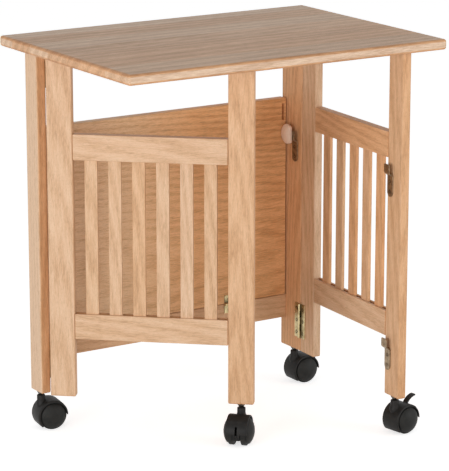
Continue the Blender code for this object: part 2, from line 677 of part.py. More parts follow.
def hood_mesh(name, with_slot):
    """The swivel body: a hood arched over the wheels, the web and axle between them, a neck."""
    centre = (CASTER_TRAIL, AXLE_LEVEL)
    outer = arc_points(centre, HOOD_OUTER, HOOD_FRONT_END, HOOD_BACK_END, HOOD_SIDES)
    inner = arc_points(centre, HOOD_INNER, HOOD_BACK_END, HOOD_FRONT_END, HOOD_SIDES)
    hood = add_part(name, outline_mesh(name, outer + inner, HOOD_WIDTH), "black")
    web = bmesh.new()
    web_radius = HOOD_INNER + HOOD_THICKNESS / 2
    axle_at = Vector((CASTER_TRAIL, 0, AXLE_LEVEL))
    web_side = Vector((0, WEB_HALF, 0))
    add_cylinder(web, axle_at - web_side, axle_at + web_side, web_radius, sides=2 * HOOD_SIDES)
    neck = bmesh.new()
    add_cylinder(neck, (0, 0, AXLE_LEVEL), (0, 0, NECK_TOP), NECK_RADIUS, sides=NECK_SIDES)
    wells = bmesh.new()
    for side in (-1, 1):
        start = axle_at + Vector((0, side * (WEB_HALF - FIT), 0))
        stop = axle_at + Vector((0, side * CASTER_WIDTH, 0))
        add_cylinder(wells, start, stop, WELL_RADIUS, sides=WHEEL_SIDES)
    ground_room = box_mesh(name + "_ground_room", (2 * CASTER_WIDTH, WHEEL_GAP, 2 * WEB_CLEARANCE))
    bores = bmesh.new()
    add_cylinder(bores, (0, 0, STEM_LOW - FIT), (0, 0, CASTER_HEIGHT), STEM_RADIUS + FIT)
    axle = bmesh.new()
    axle_side = Vector((0, AXLE_HALF, 0))
    add_cylinder(axle, axle_at - axle_side, axle_at + axle_side, AXLE_RADIUS)
    add_boolean(hood, finish_mesh(neck, name + "_neck"), "UNION", "neck")
    add_boolean(hood, finish_mesh(wells, name + "_wells"), "DIFFERENCE", "wells")
    add_boolean(hood, finish_mesh(web, name + "_web"), "UNION", "web")
    add_boolean(hood, ground_room, "DIFFERENCE", "ground_room")
    add_boolean(hood, finish_mesh(bores, name + "_bores"), "DIFFERENCE", "bores")
    add_boolean(hood, finish_mesh(axle, name + "_axle"), "UNION", "axle")
    if with_slot:
        slot = bmesh.new()
        slot_low = Vector((LEVER_PIVOT_X - LEVER_SLOT_BEHIND, 0, LEVER_PIVOT_Z - LEVER_SLOT_BELOW))
        slot_high = Vector((CASTER_TRAIL + CASTER_WIDTH, 0, CASTER_HEIGHT))
        slot_side = Vector((0, LEVER_WIDTH / 2 + FIT, 0))
        add_box(slot, slot_low - slot_side, slot_high + slot_side)
        add_boolean(hood, finish_mesh(slot, name + "_slot"), "DIFFERENCE", "slot")
    return smoothed(settled_mesh(hood, name))


PLAIN_HOOD = hood_mesh("plain_hood", False)
BRAKE_HOOD = hood_mesh("brake_hood", True)

# One wheel turned about its axle, with a domed face and a blind bore, in a frame whose Z axis
# is the axle and whose zero is midway between the wheels
wheel_inner = WHEEL_GAP / 2
wheel_outer = wheel_inner + WHEEL_WIDTH
rim_face = wheel_outer - WHEEL_DOME
bore_end = AXLE_HALF + FIT
axle_bore = AXLE_RADIUS + FIT
WHEEL_PROFILE = [
    (0.0, wheel_outer),
    (WHEEL_FACE_RADIUS, wheel_outer - WHEEL_FACE_DROP),
    (WHEEL_SHOULDER_RADIUS, wheel_outer - WHEEL_SHOULDER_DROP),
    (WHEEL_RIM_RADIUS, rim_face),
    (WHEEL_RADIUS, rim_face - WHEEL_TREAD_EASE),
    (WHEEL_RADIUS, wheel_inner + WHEEL_INNER_EASE),
    (WHEEL_RADIUS - WHEEL_INNER_EASE, wheel_inner),
    (axle_bore, wheel_inner),
    (axle_bore, bore_end),
    (0.0, bore_end),
]
WHEEL_MESH = turned_mesh("wheel", WHEEL_PROFILE, WHEEL_SIDES)

flange_top = POST_BOTTOM - FIT
STEM_PROFILE = [
    (0.0, STEM_TOP),
    (STEM_RADIUS - STEM_TIP_EASE, STEM_TOP),
    (STEM_RADIUS, STEM_TOP - STEM_TIP_EASE),
    (STEM_RADIUS, flange_top),
    (STEM_FLANGE_RADIUS, flange_top),
    (STEM_RADIUS, flange_top - STEM_FLANGE_HEIGHT),
    (STEM_RADIUS, STEM_LOW),
    (0.0, STEM_LOW),
]
STEM_MESH = turned_mesh("stem", STEM_PROFILE, ROUND_SIDES)


def build_caster(place, foot, parent, post):
    """A caster under a post: stem, hood and a pair of wheels that turn on the hood's axle."""
    note_bore(post, (foot.x, foot.y, 0), (foot.x, foot.y, STEM_TOP + CUT_OVERRUN), STEM_RADIUS + FIT)
    turn = CASTER_HEADINGS[place] - (parent.rotation_euler.z if parent else 0.0)
    swivel = add_pivot(place + "_swivel", (foot.x, foot.y, 0), turn, parent)
    hood = BRAKE_HOOD if place == "right_front" else PLAIN_HOOD
    add_part(place + "_caster_hood", hood.copy(), "black", swivel)
    add_part(place + "_caster_stem", STEM_MESH.copy(), "steel", swivel)
    axle_at = (CASTER_TRAIL, 0, AXLE_LEVEL)
    for wheel_name, lay in (("left_wheel", -math.pi / 2), ("right_wheel", math.pi / 2)):
        name = place + "_caster_" + wheel_name
        add_part(name, WHEEL_MESH.copy(), "black", swivel, axle_at, (lay, 0, 0))
    return swivel


back_left_foot = Vector((-BASE_WIDTH / 2 + BACK_POST_THICKNESS / 2, (LEFT_POST_FRONT + BACK_FACE) / 2, 0))
back_right_foot = Vector((BASE_WIDTH / 2 - BACK_POST_THICKNESS / 2, (RIGHT_POST_FRONT + BACK_FACE) / 2, 0))
build_caster("back_left", back_left_foot, None, "back_left_post")
build_caster("back_right", back_right_foot, None, "back_right_post")
build_caster("left_front", left_foot, LEFT_PANEL, "left_front_post")
brake_swivel = build_caster("right_front", right_foot, RIGHT_PANEL, "right_front_post")

# The brake lever: a flat pedal that leans up out of a slot in the hood, on a round pivot
lever_round = LEVER_THICKNESS / 2
lever_outline = arc_points((0, 0), lever_round, math.pi / 2, 3 * math.pi / 2, LEVER_END_SIDES)
lever_outline += [(LEVER_LENGTH, -lever_round), (LEVER_LENGTH, lever_round)]
lever_mesh = outline_mesh("brake_lever", lever_outline, LEVER_WIDTH)
add_part(
    "brake_lever",
    lever_mesh,
    "black",
    brake_swivel,
    (LEVER_PIVOT_X, 0, LEVER_PIVOT_Z),
    (0, -LEVER_RISE, 0),
)

cut_sockets()
bpy.context.view_layer.update()
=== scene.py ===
import json

import bpy
import numpy as np
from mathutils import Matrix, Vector


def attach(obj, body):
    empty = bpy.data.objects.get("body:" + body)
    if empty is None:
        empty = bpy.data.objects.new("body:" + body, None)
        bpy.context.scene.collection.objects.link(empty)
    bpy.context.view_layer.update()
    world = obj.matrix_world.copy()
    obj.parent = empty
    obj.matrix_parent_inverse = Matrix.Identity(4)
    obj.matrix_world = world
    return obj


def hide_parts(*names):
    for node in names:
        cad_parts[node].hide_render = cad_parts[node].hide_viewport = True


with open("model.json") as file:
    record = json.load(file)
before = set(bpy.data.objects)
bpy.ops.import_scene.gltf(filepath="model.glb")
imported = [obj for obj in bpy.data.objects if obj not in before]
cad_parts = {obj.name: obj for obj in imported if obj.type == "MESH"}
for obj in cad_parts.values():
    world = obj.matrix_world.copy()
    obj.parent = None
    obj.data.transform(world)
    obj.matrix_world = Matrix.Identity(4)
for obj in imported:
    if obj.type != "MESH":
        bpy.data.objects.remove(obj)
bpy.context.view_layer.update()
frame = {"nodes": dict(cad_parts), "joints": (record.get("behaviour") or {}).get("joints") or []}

# Tabletop
# A slab of pale hardwood strips glued edge to edge, sanded flat and clear-lacquered. Its edge is
# rounded over all round, and it sits on the tenons of the two back posts.
TOP_EASE = 0.005
TOP_STRIP = 0.062
TOP_RING = 0.017
TOP_PALE = (0.86, 0.64, 0.45)
TOP_HONEY = (0.66, 0.435, 0.28)
TOP_BROWN = (0.40, 0.225, 0.12)
# The top's wide face has a lower tone than its edges. This is painted shade for a face that gets less
# light. The arris share paints a darker line of shade along the middle of the rounded edge.
TOP_FACE_SHADE_TONES = (0.2, 0.45, 0.15)
TOP_ARRIS_SHADE = 3.0
BOARD_EASE = 0.0025
QUARTER = np.radians([0, 22.5, 45, 67.5, 90])
LEAST_ROUND = 0.15
FLAT_SHARE = 0.3
GROOVE_SHADE_POINTS = slice(-5, -1)
CRISP_ANGLE = np.radians(40)


def turned_axes(turn):
    """The X, Y and Z axes of a frame turned about the vertical by an angle, as columns."""
    c, s = np.cos(turn), np.sin(turn)
    return np.array([[c, -s, 0.0], [s, c, 0.0], [0.0, 0.0, 1.0]])


def corners_of(node, turn=0.0):
    """Lowest and highest corner of a solid in a turned frame: the extremes of its turned-back points."""
    mesh = frame["nodes"][node].data
    points = np.empty(len(mesh.vertices) * 3)
    mesh.vertices.foreach_get("co", points)
    points = points.reshape(-1, 3) @ turned_axes(turn)
    return points.min(0), points.max(0)


def eased_section(width, thickness, ease, inset, flat):
    """A rectangle drawn in by an inset, with quarter-round corners and a point on each flat beside
    each corner: corner centre plus radius times (cos, sin), pushed along the flat at both ends."""
    angle = QUARTER[[0, 0, 1, 2, 3, 4, 4]] + np.radians(90 * np.arange(4))[:, None]
    push = np.array([-flat, 0, 0, 0, 0, 0, flat])
    radius = max(ease - inset, LEAST_ROUND * ease)
    side = np.array([[1, 1], [-1, 1], [-1, -1], [1, -1]])
    centre = side * (np.array([width, thickness]) / 2 - inset - radius)
    x = centre[:, :1] + radius * np.cos(angle) - push * np.sin(angle)
    y = centre[:, 1:] + radius * np.sin(angle) + push * np.cos(angle)
    return np.stack([x.ravel(), y.ravel()], -1)


def board_rings(length, width, thickness, ease, groove=None):
    """An eased board about its centre: the eased section carried along the length and drawn in at
    both ends on a quarter circle. A groove dips from the flat of one narrow side to a floor and back.
    Points are (along, across, through)."""
    flat = (groove["flat"] if groove else FLAT_SHARE) * (min(width, thickness) / 2 - ease)
    inset = np.concatenate([[ease + flat], ease * (1 - np.sin(QUARTER)), [0.0]])
    along = np.concatenate([[0.0], ease * (1 - np.cos(QUARTER)), [ease + flat]])
    inset = np.concatenate([inset, inset[::-1]])
    along = np.concatenate([along, length - along[::-1]]) - length / 2
    rows = np.stack([eased_section(width, thickness, ease, d, flat) for d in inset])
    if groove:
        mouth = width / 2 - inset
        lip = mouth - groove["lip"]
        floor = np.full_like(inset, width / 2 - groove["deep"])
        dip = np.stack([mouth, lip, floor, floor, lip, mouth], -1)
        across = np.broadcast_to(np.repeat([-groove["half"], groove["half"]], 3), dip.shape)
        rows = np.concatenate([rows, np.stack([dip, across], -1)], 1) * np.array([groove["side"], 1.0])
    return np.concatenate([np.broadcast_to(along[:, None, None], rows.shape[:2] + (1,)), rows], -1)


def closed_skin(rings):
    """Points, quads and end faces of a closed tube through a stack of rings: a quad between each pair
    of neighbours and a flat face on both end rings, turned outwards by the sign of the volume."""
    rows, around = rings.shape[:2]
    index = np.arange(rows * around).reshape(rows, around)
    low, high = index[:-1], index[1:]
    quads = np.stack([low, np.roll(low, -1, 1), np.roll(high, -1, 1), high], -1).reshape(-1, 4)
    ends = np.stack([index[0][::-1], index[-1]])
    points = rings.reshape(-1, 3)
    fans = [np.stack([np.full(around - 2, end[0]), end[1:-1], end[2:]], -1) for end in ends]
    triangles = np.concatenate([quads[:, [0, 1, 2]], quads[:, [0, 2, 3]], *fans])
    a, b, c = (points[triangles[:, k]] - points.mean(0) for k in range(3))
    way = 1 if np.sum(a * np.cross(b, c)) > 0 else -1
    return points, quads[:, ::way], ends[:, ::way]


def add_piece(name, skins, finish, body, nodes, marks=None):
    """One piece from several closed skins, with point marks for its material, set on its body."""
    points, faces, start = [], [], 0
    for skin_points, quads, ends in skins:
        points.append(skin_points)
        faces += (quads + start).tolist() + (ends + start).tolist()
        start += len(skin_points)
    mesh = bpy.data.meshes.new(name)
    mesh.from_pydata(np.concatenate(points), [], faces)
    for mark, (kind, field, values) in (marks or {}).items():
        layer = mesh.attributes.new(mark, kind, "POINT")
        layer.data.foreach_set(field, np.ascontiguousarray(values, np.float32).ravel())
    mesh.shade_smooth()
    mesh.set_sharp_from_angle(angle=CRISP_ANGLE)
    mesh.materials.append(finish)
    piece = bpy.data.objects.new(name, mesh)
    bpy.context.scene.collection.objects.link(piece)
    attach(piece, body)
    if nodes:
        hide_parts(*nodes)


LOG_STEPS = (0.417, 0.0731, 0.0293)
LOG_WIDE = 0.09
LOG_THICK = 0.05
boards_sawn = []


def log_place(number):
    """Where a board was sawn from the log: further along for each, and near the pith by turns."""
    along, across, through = np.multiply(LOG_STEPS, number)
    return np.array([along, across % LOG_WIDE - LOG_WIDE / 2, through % LOG_THICK])


def grain_marks(log, tones):
    """Point marks for the wood: each point's place in the log, and the tone of its face."""
    tones = np.broadcast_to(tones, len(log))
    return {"grain": ("FLOAT_VECTOR", "vector", log), "board": ("FLOAT", "value", tones)}


def add_board(
    name,
    node,
    along,
    finish,
    body,
    tones,
    turn=0.0,
    ease=BOARD_EASE,
    trims=(0.0, 0.0),
    arris_shade=0.0,
    groove=None,
):
    """A board in place of a solid, with its grain along one axis of a turned frame. Each point keeps its
    place in the log, along, across and through the grain, and a tone that goes from the wide faces to
    the narrow sides and the end grain round the eased corners, less a share on the corner itself, a
    painted line of shade. The inside of a groove has a darker tone, painted shade with some dirt."""
    low, high = corners_of(node, turn)
    low[along] += trims[0]
    high[along] -= trims[1]
    size = high - low
    cross = sorted([axis for axis in range(3) if axis != along], key=lambda axis: -size[axis])
    order = [along] + cross
    rings = board_rings(*size[order], ease, groove)
    points = rings.reshape(-1, 3)
    end, side, face = np.clip((abs(points) - size[order] / 2 + ease) / ease, 0, 1).T
    tone = tones[0] + (tones[1] - tones[0]) * side
    # The share taken off the middle of the eased corner is a painted line of shade along the edge.
    tone += (tones[2] - tone) * end - arris_shade * face * np.maximum(side, end)
    if groove:
        # Painted shade, with some dirt, darkens the inside of the groove.
        tone.reshape(rings.shape[:2])[:, GROOVE_SHADE_POINTS] = groove["tone"]
    log = points + log_place(len(boards_sawn))
    boards_sawn.append(name)
    stood = np.empty_like(rings)
    stood[..., order] = rings
    stood = (stood + (low + high) / 2) @ turned_axes(turn).T
    add_piece(name, [closed_skin(stood)], finish, body, [node], grain_marks(log, tone))


def add_node(material, kind, inputs=None, **settings):
    """A shader node with its settings, whose inputs are values or the outputs of other nodes."""
    step = material.node_tree.nodes.new(kind)
    for key, value in settings.items():
        setattr(step, key, value)
    for socket, value in (inputs or {}).items():
        if isinstance(value, bpy.types.NodeSocket):
            material.node_tree.links.new(value, step.inputs[socket])
        else:
            step.inputs[socket].default_value = value
    return step


def add_math(material, operation, *terms):
    """One operation on one, two or three terms."""
    return add_node(material, "ShaderNodeMath", dict(enumerate(terms)), operation=operation).outputs[0]


def add_sum(material, first, second, share):
    """First plus a share of second."""
    return add_math(material, "MULTIPLY_ADD", second, share, first)


def add_mix(material, factor, first, second, blend="MIX"):
    """The first colour with a share of the second laid over it, plainly or by another blend."""
    inputs = {"Factor": factor, "A": first, "B": second}
    mix = add_node(material, "ShaderNodeMix", inputs, data_type="RGBA", blend_type=blend)
    return mix.outputs["Result"]


def add_ramp(material, factor, stops):
    """A colour ramp through (position, grey or colour) stops."""
    ramp = add_node(material, "ShaderNodeValToRGB", {"Fac": factor})
    while len(ramp.color_ramp.elements) < len(stops):
        ramp.color_ramp.elements.new(0.5)
    for element, (position, tone) in zip(ramp.color_ramp.elements, stops):
        element.position = position
        element.color = (tone, tone, tone, 1.0) if isinstance(tone, float) else (*tone, 1.0)
    return ramp.outputs["Color"]


def add_noise(material, place, scale, detail, roughness=0.5):
    """Cloudy noise at a scale, with finer clouds laid over it in some steps of detail."""
    inputs = {"Vector": place, "Scale": scale, "Detail": detail, "Roughness": roughness}
    return add_node(material, "ShaderNodeTexNoise", inputs).outputs["Fac"]


def along_grain(material, place, squeeze, shift=(0.0, 0.0, 0.0), tilt=(0.0, 0.0, 0.0)):
    """Places squeezed along the grain, so that a pattern is drawn out there, then turned and shifted."""
    inputs = {"Vector": place, "Location": shift, "Rotation": tilt, "Scale": (squeeze, 1.0, 1.0)}
    return add_node(material, "ShaderNodeMapping", inputs).outputs[0]


def new_finish(name):
    """An empty finish with its shader."""
    material = bpy.data.materials.new(name)
    material.use_nodes = True
    return material, material.node_tree.nodes["Principled BSDF"]


def lay_on(material, shader, colour, gloss, relief):
    """Joins a finish to its shader: a colour, a roughness that goes from one value to another as a
    pattern crosses a span, and a fine relief with a strength and a depth."""
    pattern, span, roughness = gloss
    height, strength, depth = relief
    spread = {"From Min": span[0], "From Max": span[1], "To Min": roughness[0], "To Max": roughness[1]}
    rough = add_node(material, "ShaderNodeMapRange", {"Value": pattern, **spread})
    inputs = {"Height": height, "Strength": strength, "Distance": depth}
    bump = add_node(material, "ShaderNodeBump", inputs)
    material.node_tree.links.new(colour, shader.inputs["Base Color"])
    material.node_tree.links.new(rough.outputs[0], shader.inputs["Roughness"])
    material.node_tree.links.new(bump.outputs[0], shader.inputs["Normal"])


STRIP_TONE = 0.9
STRIP_JUMP = (2.0, 0.4, 0.4)
GRAIN_SQUEEZE = 0.07
VESSEL_SQUEEZE = 0.08
DRIFT_SQUEEZE = 0.35
STREAK_SHIFT = (0.0, 0.012, 0.047)
STREAK_TILT = (0.0, 0.30, 0.42)
PITH_SHIFT = (0.0, 0.006, 0.031)
PITH_TILT = (0.0, 0.95, 0.42)
RING_SCALE = 0.314
RING_WAVER = {"Distortion": 6.0, "Detail": 3.0, "Detail Scale": 1.1, "Detail Roughness": 0.6}
PALE_REACH = 0.24
BROWN_REACH = 0.30
TONE_TINTS = [(0.0, (1.05, 0.87, 0.70)), (0.5, (1.0, 1.0, 1.0)), (1.0, (0.98, 1.0, 1.05))]
VESSEL_STOPS = [(0.60, 0.0), (0.66, 1.0)]
PORE_STOPS = [(0.57, 0.0), (0.63, 0.75)]
VESSELS_ON_RINGS = 0.08
VESSEL_SHADE = 0.62
WOOD_ROUGHNESS = (0.38, 0.56)
FINE_RELIEF = 0.5
VESSEL_RELIEF = -0.6
RELIEF_DEPTH = 0.0003


def wood_finish(
    name, pale, honey, brown, strip=None, ring=0.0075, figure=0.15, vessels=0.34, sheen=0.15
):
    """Clear-finished wood cut from the log that the grain marks place it in: growth rings a given width
    apart round a tilted pith, streaks of two widths and short dark vessels that gather on the rings, all
    drawn out along the grain, a slow drift of tone, and a tone and tint of its own for each board or
    glued strip."""
    material, shader = new_finish(name)
    place = add_node(material, "ShaderNodeAttribute", attribute_name="grain").outputs["Vector"]
    # The board tone carries each board's own tone, and also the painted light and shade set on some
    # boards' points.
    board = add_node(material, "ShaderNodeAttribute", attribute_name="board").outputs["Fac"]
    if strip:
        across = add_node(material, "ShaderNodeSeparateXYZ", {0: place}).outputs["Y"]
        lane = add_math(material, "FLOOR", add_math(material, "DIVIDE", across, strip))
        throw = add_node(material, "ShaderNodeTexWhiteNoise", {"W": lane}, noise_dimensions="1D").outputs
        board = add_sum(material, board, throw["Value"], STRIP_TONE)
        jump = {0: throw["Color"], 1: STRIP_JUMP, 2: place}
        place = add_node(material, "ShaderNodeVectorMath", jump, operation="MULTIPLY_ADD").outputs[0]
    streak_lay = along_grain(material, place, GRAIN_SQUEEZE, STREAK_SHIFT, STREAK_TILT)
    vessel_lay = along_grain(material, place, VESSEL_SQUEEZE)
    drift_lay = along_grain(material, place, DRIFT_SQUEEZE)
    pith = along_grain(material, place, GRAIN_SQUEEZE, PITH_SHIFT, PITH_TILT)
    rings = add_node(
        material,
        "ShaderNodeTexWave",
        {"Vector": pith, "Scale": RING_SCALE / ring, **RING_WAVER},
        wave_type="RINGS",
        rings_direction="X",
        wave_profile="SIN",
    ).outputs["Fac"]
    streaks = add_noise(material, streak_lay, scale=260.0, detail=4.0, roughness=0.6)
    fine = add_noise(material, streak_lay, scale=760.0, detail=4.0, roughness=0.65)
    dashes = add_noise(material, vessel_lay, scale=1050.0, detail=4.0, roughness=0.6)
    pores = add_noise(material, vessel_lay, scale=2300.0, detail=2.0)
    drift = add_noise(material, drift_lay, scale=13.0, detail=3.0)
    figured = add_math(material, "MULTIPLY", rings, figure)
    shares = ((streaks, 0.30), (fine, 0.8), (drift, 0.30), (board, -0.12))
    for layer, share in shares:
        figured = add_sum(material, figured, layer, share)
    middle = 0.5 * (figure + sum(share for layer, share in shares))
    tones = [(middle - PALE_REACH, pale), (middle, honey), (middle + BROWN_REACH, brown)]
    colour = add_ramp(material, figured, tones)
    colour = add_mix(material, 1.0, colour, add_ramp(material, board, TONE_TINTS), "MULTIPLY")
    vessel = add_ramp(material, add_sum(material, dashes, rings, VESSELS_ON_RINGS), VESSEL_STOPS)
    vessel = add_math(material, "MAXIMUM", vessel, add_ramp(material, pores, PORE_STOPS))
    shown = add_math(material, "MULTIPLY", vessel, vessels)
    dark = tuple(VESSEL_SHADE * c for c in brown)
    colour = add_mix(material, shown, colour, (*dark, 1.0))
    height = add_math(material, "MULTIPLY", fine, FINE_RELIEF)
    height = add_sum(material, height, vessel, VESSEL_RELIEF)
    gloss = (streaks, (0.0, 1.0), WOOD_ROUGHNESS)
    lay_on(material, shader, colour, gloss, relief=(height, 0.25, RELIEF_DEPTH))
    shader.inputs["Specular IOR Level"].default_value = sheen
    return material


TOP_WOOD = wood_finish(
    "top_wood", TOP_PALE, TOP_HONEY, TOP_BROWN, TOP_STRIP, TOP_RING, figure=0.11, vessels=0.2, sheen=0.2
)
add_board(
    "top_slab",
    "tabletop",
    0,
    TOP_WOOD,
    "back_frame",
    TOP_FACE_SHADE_TONES,
    ease=TOP_EASE,
    arris_shade=TOP_ARRIS_SHADE,
)

# Back posts and bottom rail
# Two solid uprights set edge on, the right one deeper by the thickness of the folded left panel, and
# a rail between them. Stub tenons hold the rail in the posts and the posts in the top.
FRAME_PALE = (0.76, 0.52, 0.335)
FRAME_HONEY = (0.68, 0.43, 0.255)
FRAME_BROWN = (0.51, 0.285, 0.145)
TENON = 0.011
RAIL_EASE = 0.001
FRAME_WOOD = wood_finish("frame_wood", FRAME_PALE, FRAME_HONEY, FRAME_BROWN)
# Painted light and shade: the left post's wide face is paler where the light falls on it, and its narrow
# front side is more orange where it is shaded. The right post is darker and redder as painted shade of
# the bay. The end grain tone is the wood's own.
BACK_LIGHT_AND_GRAIN_TONES = {"left": (2.8, 0.1, -0.5), "right": (0.1, 0.3, -0.5)}
BACK_RAIL_TONES = (0.35, 0.3, -0.4)
for side, tones in BACK_LIGHT_AND_GRAIN_TONES.items():
    add_board(
        "back_" + side + "_upright",
        "back_" + side + "_post",
        2,
        FRAME_WOOD,
        "back_frame",
        tones,
        trims=(0.0, TENON),
    )
add_board(
    "back_rail_timber",
    "back_bottom_rail",
    0,
    FRAME_WOOD,
    "back_frame",
    BACK_RAIL_TONES,
    ease=RAIL_EASE,
    trims=(TENON, TENON),
)

# Folding shelf
# One wide board of the same hardwood, hinged to the bottom rail and standing upright against the back.
# A narrow notch is cut in the front near each end, for the hook that holds the shelf when lowered.
# The shelf's colours are brighter than the frame's. This is painted light that makes up for the shade in
# the bay.
SHELF_LIT_PALE = (0.90, 0.645, 0.415)
SHELF_LIT_HONEY = (0.86, 0.585, 0.345)
SHELF_LIT_BROWN = (0.62, 0.345, 0.165)
# The tone runs from pale at the left end to darker and redder at the right: painted shade of the corner
# by the right post.
SHELF_SHADE_TONES = (1.1, -0.7)
SHELF_LOG = 7.3
NOTCH_WIDE = 0.0055
NOTCH_LIP = 0.003
NOTCH_DEEP = 0.008
NOTCH_FLUSH = 0.00003
NOTCH_FROM_TOP = (0.010, 0.040)
THIRDS = np.radians([0, 30, 60, 90])


def notched_section(low, high, notch):
    """The shelf cut level: eased back corners, and in the front near each end a notch of a given depth
    behind a thin lip."""
    (x0, y0), (x1, y1) = low, high
    ease_cos, ease_sin = RAIL_EASE * np.cos(THIRDS), RAIL_EASE * np.sin(THIRDS)
    right = np.stack([x1 - RAIL_EASE + ease_cos, y1 - RAIL_EASE + ease_sin], -1)
    left = np.stack([x0 + RAIL_EASE - ease_sin, y1 - RAIL_EASE + ease_cos], -1)
    across = np.array([0.0, NOTCH_LIP, NOTCH_LIP, NOTCH_LIP + NOTCH_WIDE, NOTCH_LIP + NOTCH_WIDE])
    in_depth = y0 + notch * np.array([0, 0, 1, 1, 0])
    front_left = np.stack([x0 + across, in_depth], -1)
    front_right = np.stack([x1 - across, in_depth], -1)[::-1]
    return np.concatenate([front_left, front_right, right, left])


shelf_low, shelf_high = corners_of("fold_shelf")
notch_top, notch_bottom = (shelf_high[2] - drop for drop in NOTCH_FROM_TOP)
shelf_rows = [
    (shelf_low[2], RAIL_EASE, NOTCH_FLUSH),
    (shelf_low[2] + RAIL_EASE, 0.0, NOTCH_FLUSH),
    (notch_bottom, 0.0, NOTCH_FLUSH),
    (notch_bottom + NOTCH_FLUSH, 0.0, NOTCH_DEEP),
    (notch_top - NOTCH_FLUSH, 0.0, NOTCH_DEEP),
    (notch_top, 0.0, NOTCH_FLUSH),
    (shelf_high[2] - RAIL_EASE, 0.0, NOTCH_FLUSH),
    (shelf_high[2], RAIL_EASE, NOTCH_FLUSH),
]
shelf_rings = np.stack(
    [
        np.insert(notched_section(shelf_low[:2] + inset, shelf_high[:2] - inset, notch), 2, level, 1)
        for level, inset, notch in shelf_rows
    ]
)
SHELF_WOOD = wood_finish(
    "shelf_wood", SHELF_LIT_PALE, SHELF_LIT_HONEY, SHELF_LIT_BROWN, ring=0.008, figure=0.12, vessels=0.40
)
shelf_skin = closed_skin(shelf_rings)
shelf_points = shelf_skin[0]
shelf_log = (shelf_points - (shelf_low + shelf_high) / 2)[:, [0, 2, 1]] + log_place(SHELF_LOG)
# Painted shade: the tone falls from the left end of the shelf to its right end.
shelf_shade_tones = np.interp(shelf_points[:, 0], (shelf_low[0], shelf_high[0]), SHELF_SHADE_TONES)
add_piece(
    "shelf_board",
    [shelf_skin],
    SHELF_WOOD,
    "back_frame",
    ["fold_shelf"],
    grain_marks(shelf_log, shelf_shade_tones),
)

# Side panels
# Two gates of solid posts and rails: the left one stands folded half in, the right one nearly square
# to the back. The rails are tenoned into the posts, flush on both faces, and each has a groove along
# its inner edge for the slats.
PANEL_TURNS = {"left": np.radians(-41.0), "right": np.radians(266.5)}
POST_TONES = {
    ("left", "hinge"): (0.85, 0.4, -0.4),
    ("left", "front"): (0.4, 0.4, -0.4),
    ("right", "hinge"): (0.55, 1.1, -0.4),
    ("right", "front"): (0.4, 0.2, -0.5),
}
RAIL_TONES = {
    ("left", "bottom"): (0.8, 0.6, -0.4),
    ("left", "top"): (0.9, 0.6, -0.4),
    ("right", "bottom"): (0.7, 0.9, -0.4),
    ("right", "top"): (0.2, 0.4, -0.4),
}
# The groove's tone darkens its inside: painted shade, with some dirt.
GROOVE = {"half": 0.0032, "deep": 0.006, "lip": 0.0003, "flat": 0.2, "tone": -4.0}
GROOVE_SIDES = {"bottom": 1.0, "top": -1.0}
for (side, place), tones in POST_TONES.items():
    add_board(
        side + "_" + place + "_upright",
        side + "_" + place + "_post",
        2,
        FRAME_WOOD,
        side + "_panel",
        tones,
        PANEL_TURNS[side],
    )
for (side, place), tones in RAIL_TONES.items():
    add_board(
        side + "_" + place + "_rail_timber",
        side + "_" + place + "_rail",
        0,
        FRAME_WOOD,
        side + "_panel",
        tones,
        PANEL_TURNS[side],
        RAIL_EASE,
        (TENON, TENON),
        groove={"side": GROOVE_SIDES[place], **GROOVE},
    )

# Slats
# Thin upright strips of the same wood, with eased edges, let into the grooves of the rails. Between
# them the grooves stay open.
SLAT_TONES = {"left": (0.6, 0.75, 0.45, 0.85, 1.0, 0.6), "right": (0.3, 0.5, 0.2, 0.4, 0.15)}
SLAT_SIDE_DROP = 0.2
SLAT_END_TONE = -0.4
SLAT_EASE = 0.001
for side, tones in SLAT_TONES.items():
    for number, tone in enumerate(tones, 1):
        add_board(
            side + "_strip_" + str(number),
            side + "_slat_" + str(number),
            2,
            FRAME_WOOD,
            side + "_panel",
            (tone, tone - SLAT_SIDE_DROP, SLAT_END_TONE),
            PANEL_TURNS[side],
            SLAT_EASE,
        )

# Butt hinges
# Stamped brass-plated leaves whose ends are rolled round a pin in five knuckles. Each leaf is held by
# three countersunk cross-head screws and lies on the face of the wood.
LEAF_WIDE = 0.0165
LEAF_THICK = 0.0015
LEAF_START = 0.0031
LEAF_LIFT = -0.0027
LEAF_EASE = 0.0004
LEAF_SCREW_MARGIN = 0.0095
ROLL_RADIUS = 0.00182
ROLL_HALF = 0.00066
ROLL_ENDS = (-90, -385)
ROLL_LEAD = ((0.0042, -0.00195), (0.0028, -0.00193), (0.0012, -0.00187))
KNUCKLES = 5
KNUCKLE_GAP = 0.0003
PIN_RADIUS = 0.0012
PIN_HEAD = 0.0004
PIN_STANDOFF = 0.003
# Painted shade in the crease beside the knuckles, where their shadow falls on the leaf.
CREASE_SHADE_FROM = 0.0024
CREASE_SHADE_REACH = 0.0014
CREASE_SHADE_SOFT = 0.0005
CREASE_SHADE_ON_LEAF = (0.35, 0.95)


def placed(skin, axes, origin):
    """A skin moved from its own frame, whose axes are given as rows, to where it belongs."""
    points, quads, ends = skin
    way = -1 if np.linalg.det(axes) < 0 else 1
    return points @ axes + origin, quads[:, ::way], ends[:, ::way]


def turned_skin(radius, height, sides):
    """A profile turned about the third axis: (radius cos, radius sin, height) round each point."""
    angle = np.linspace(0, 2 * np.pi, sides, endpoint=False)
    ring = np.stack([np.cos(angle), np.sin(angle)], -1)
    flat = np.asarray(radius)[:, None, None] * ring
    level = np.broadcast_to(np.asarray(height)[:, None, None], flat.shape[:2] + (1,))
    return closed_skin(np.concatenate([flat, level], -1))


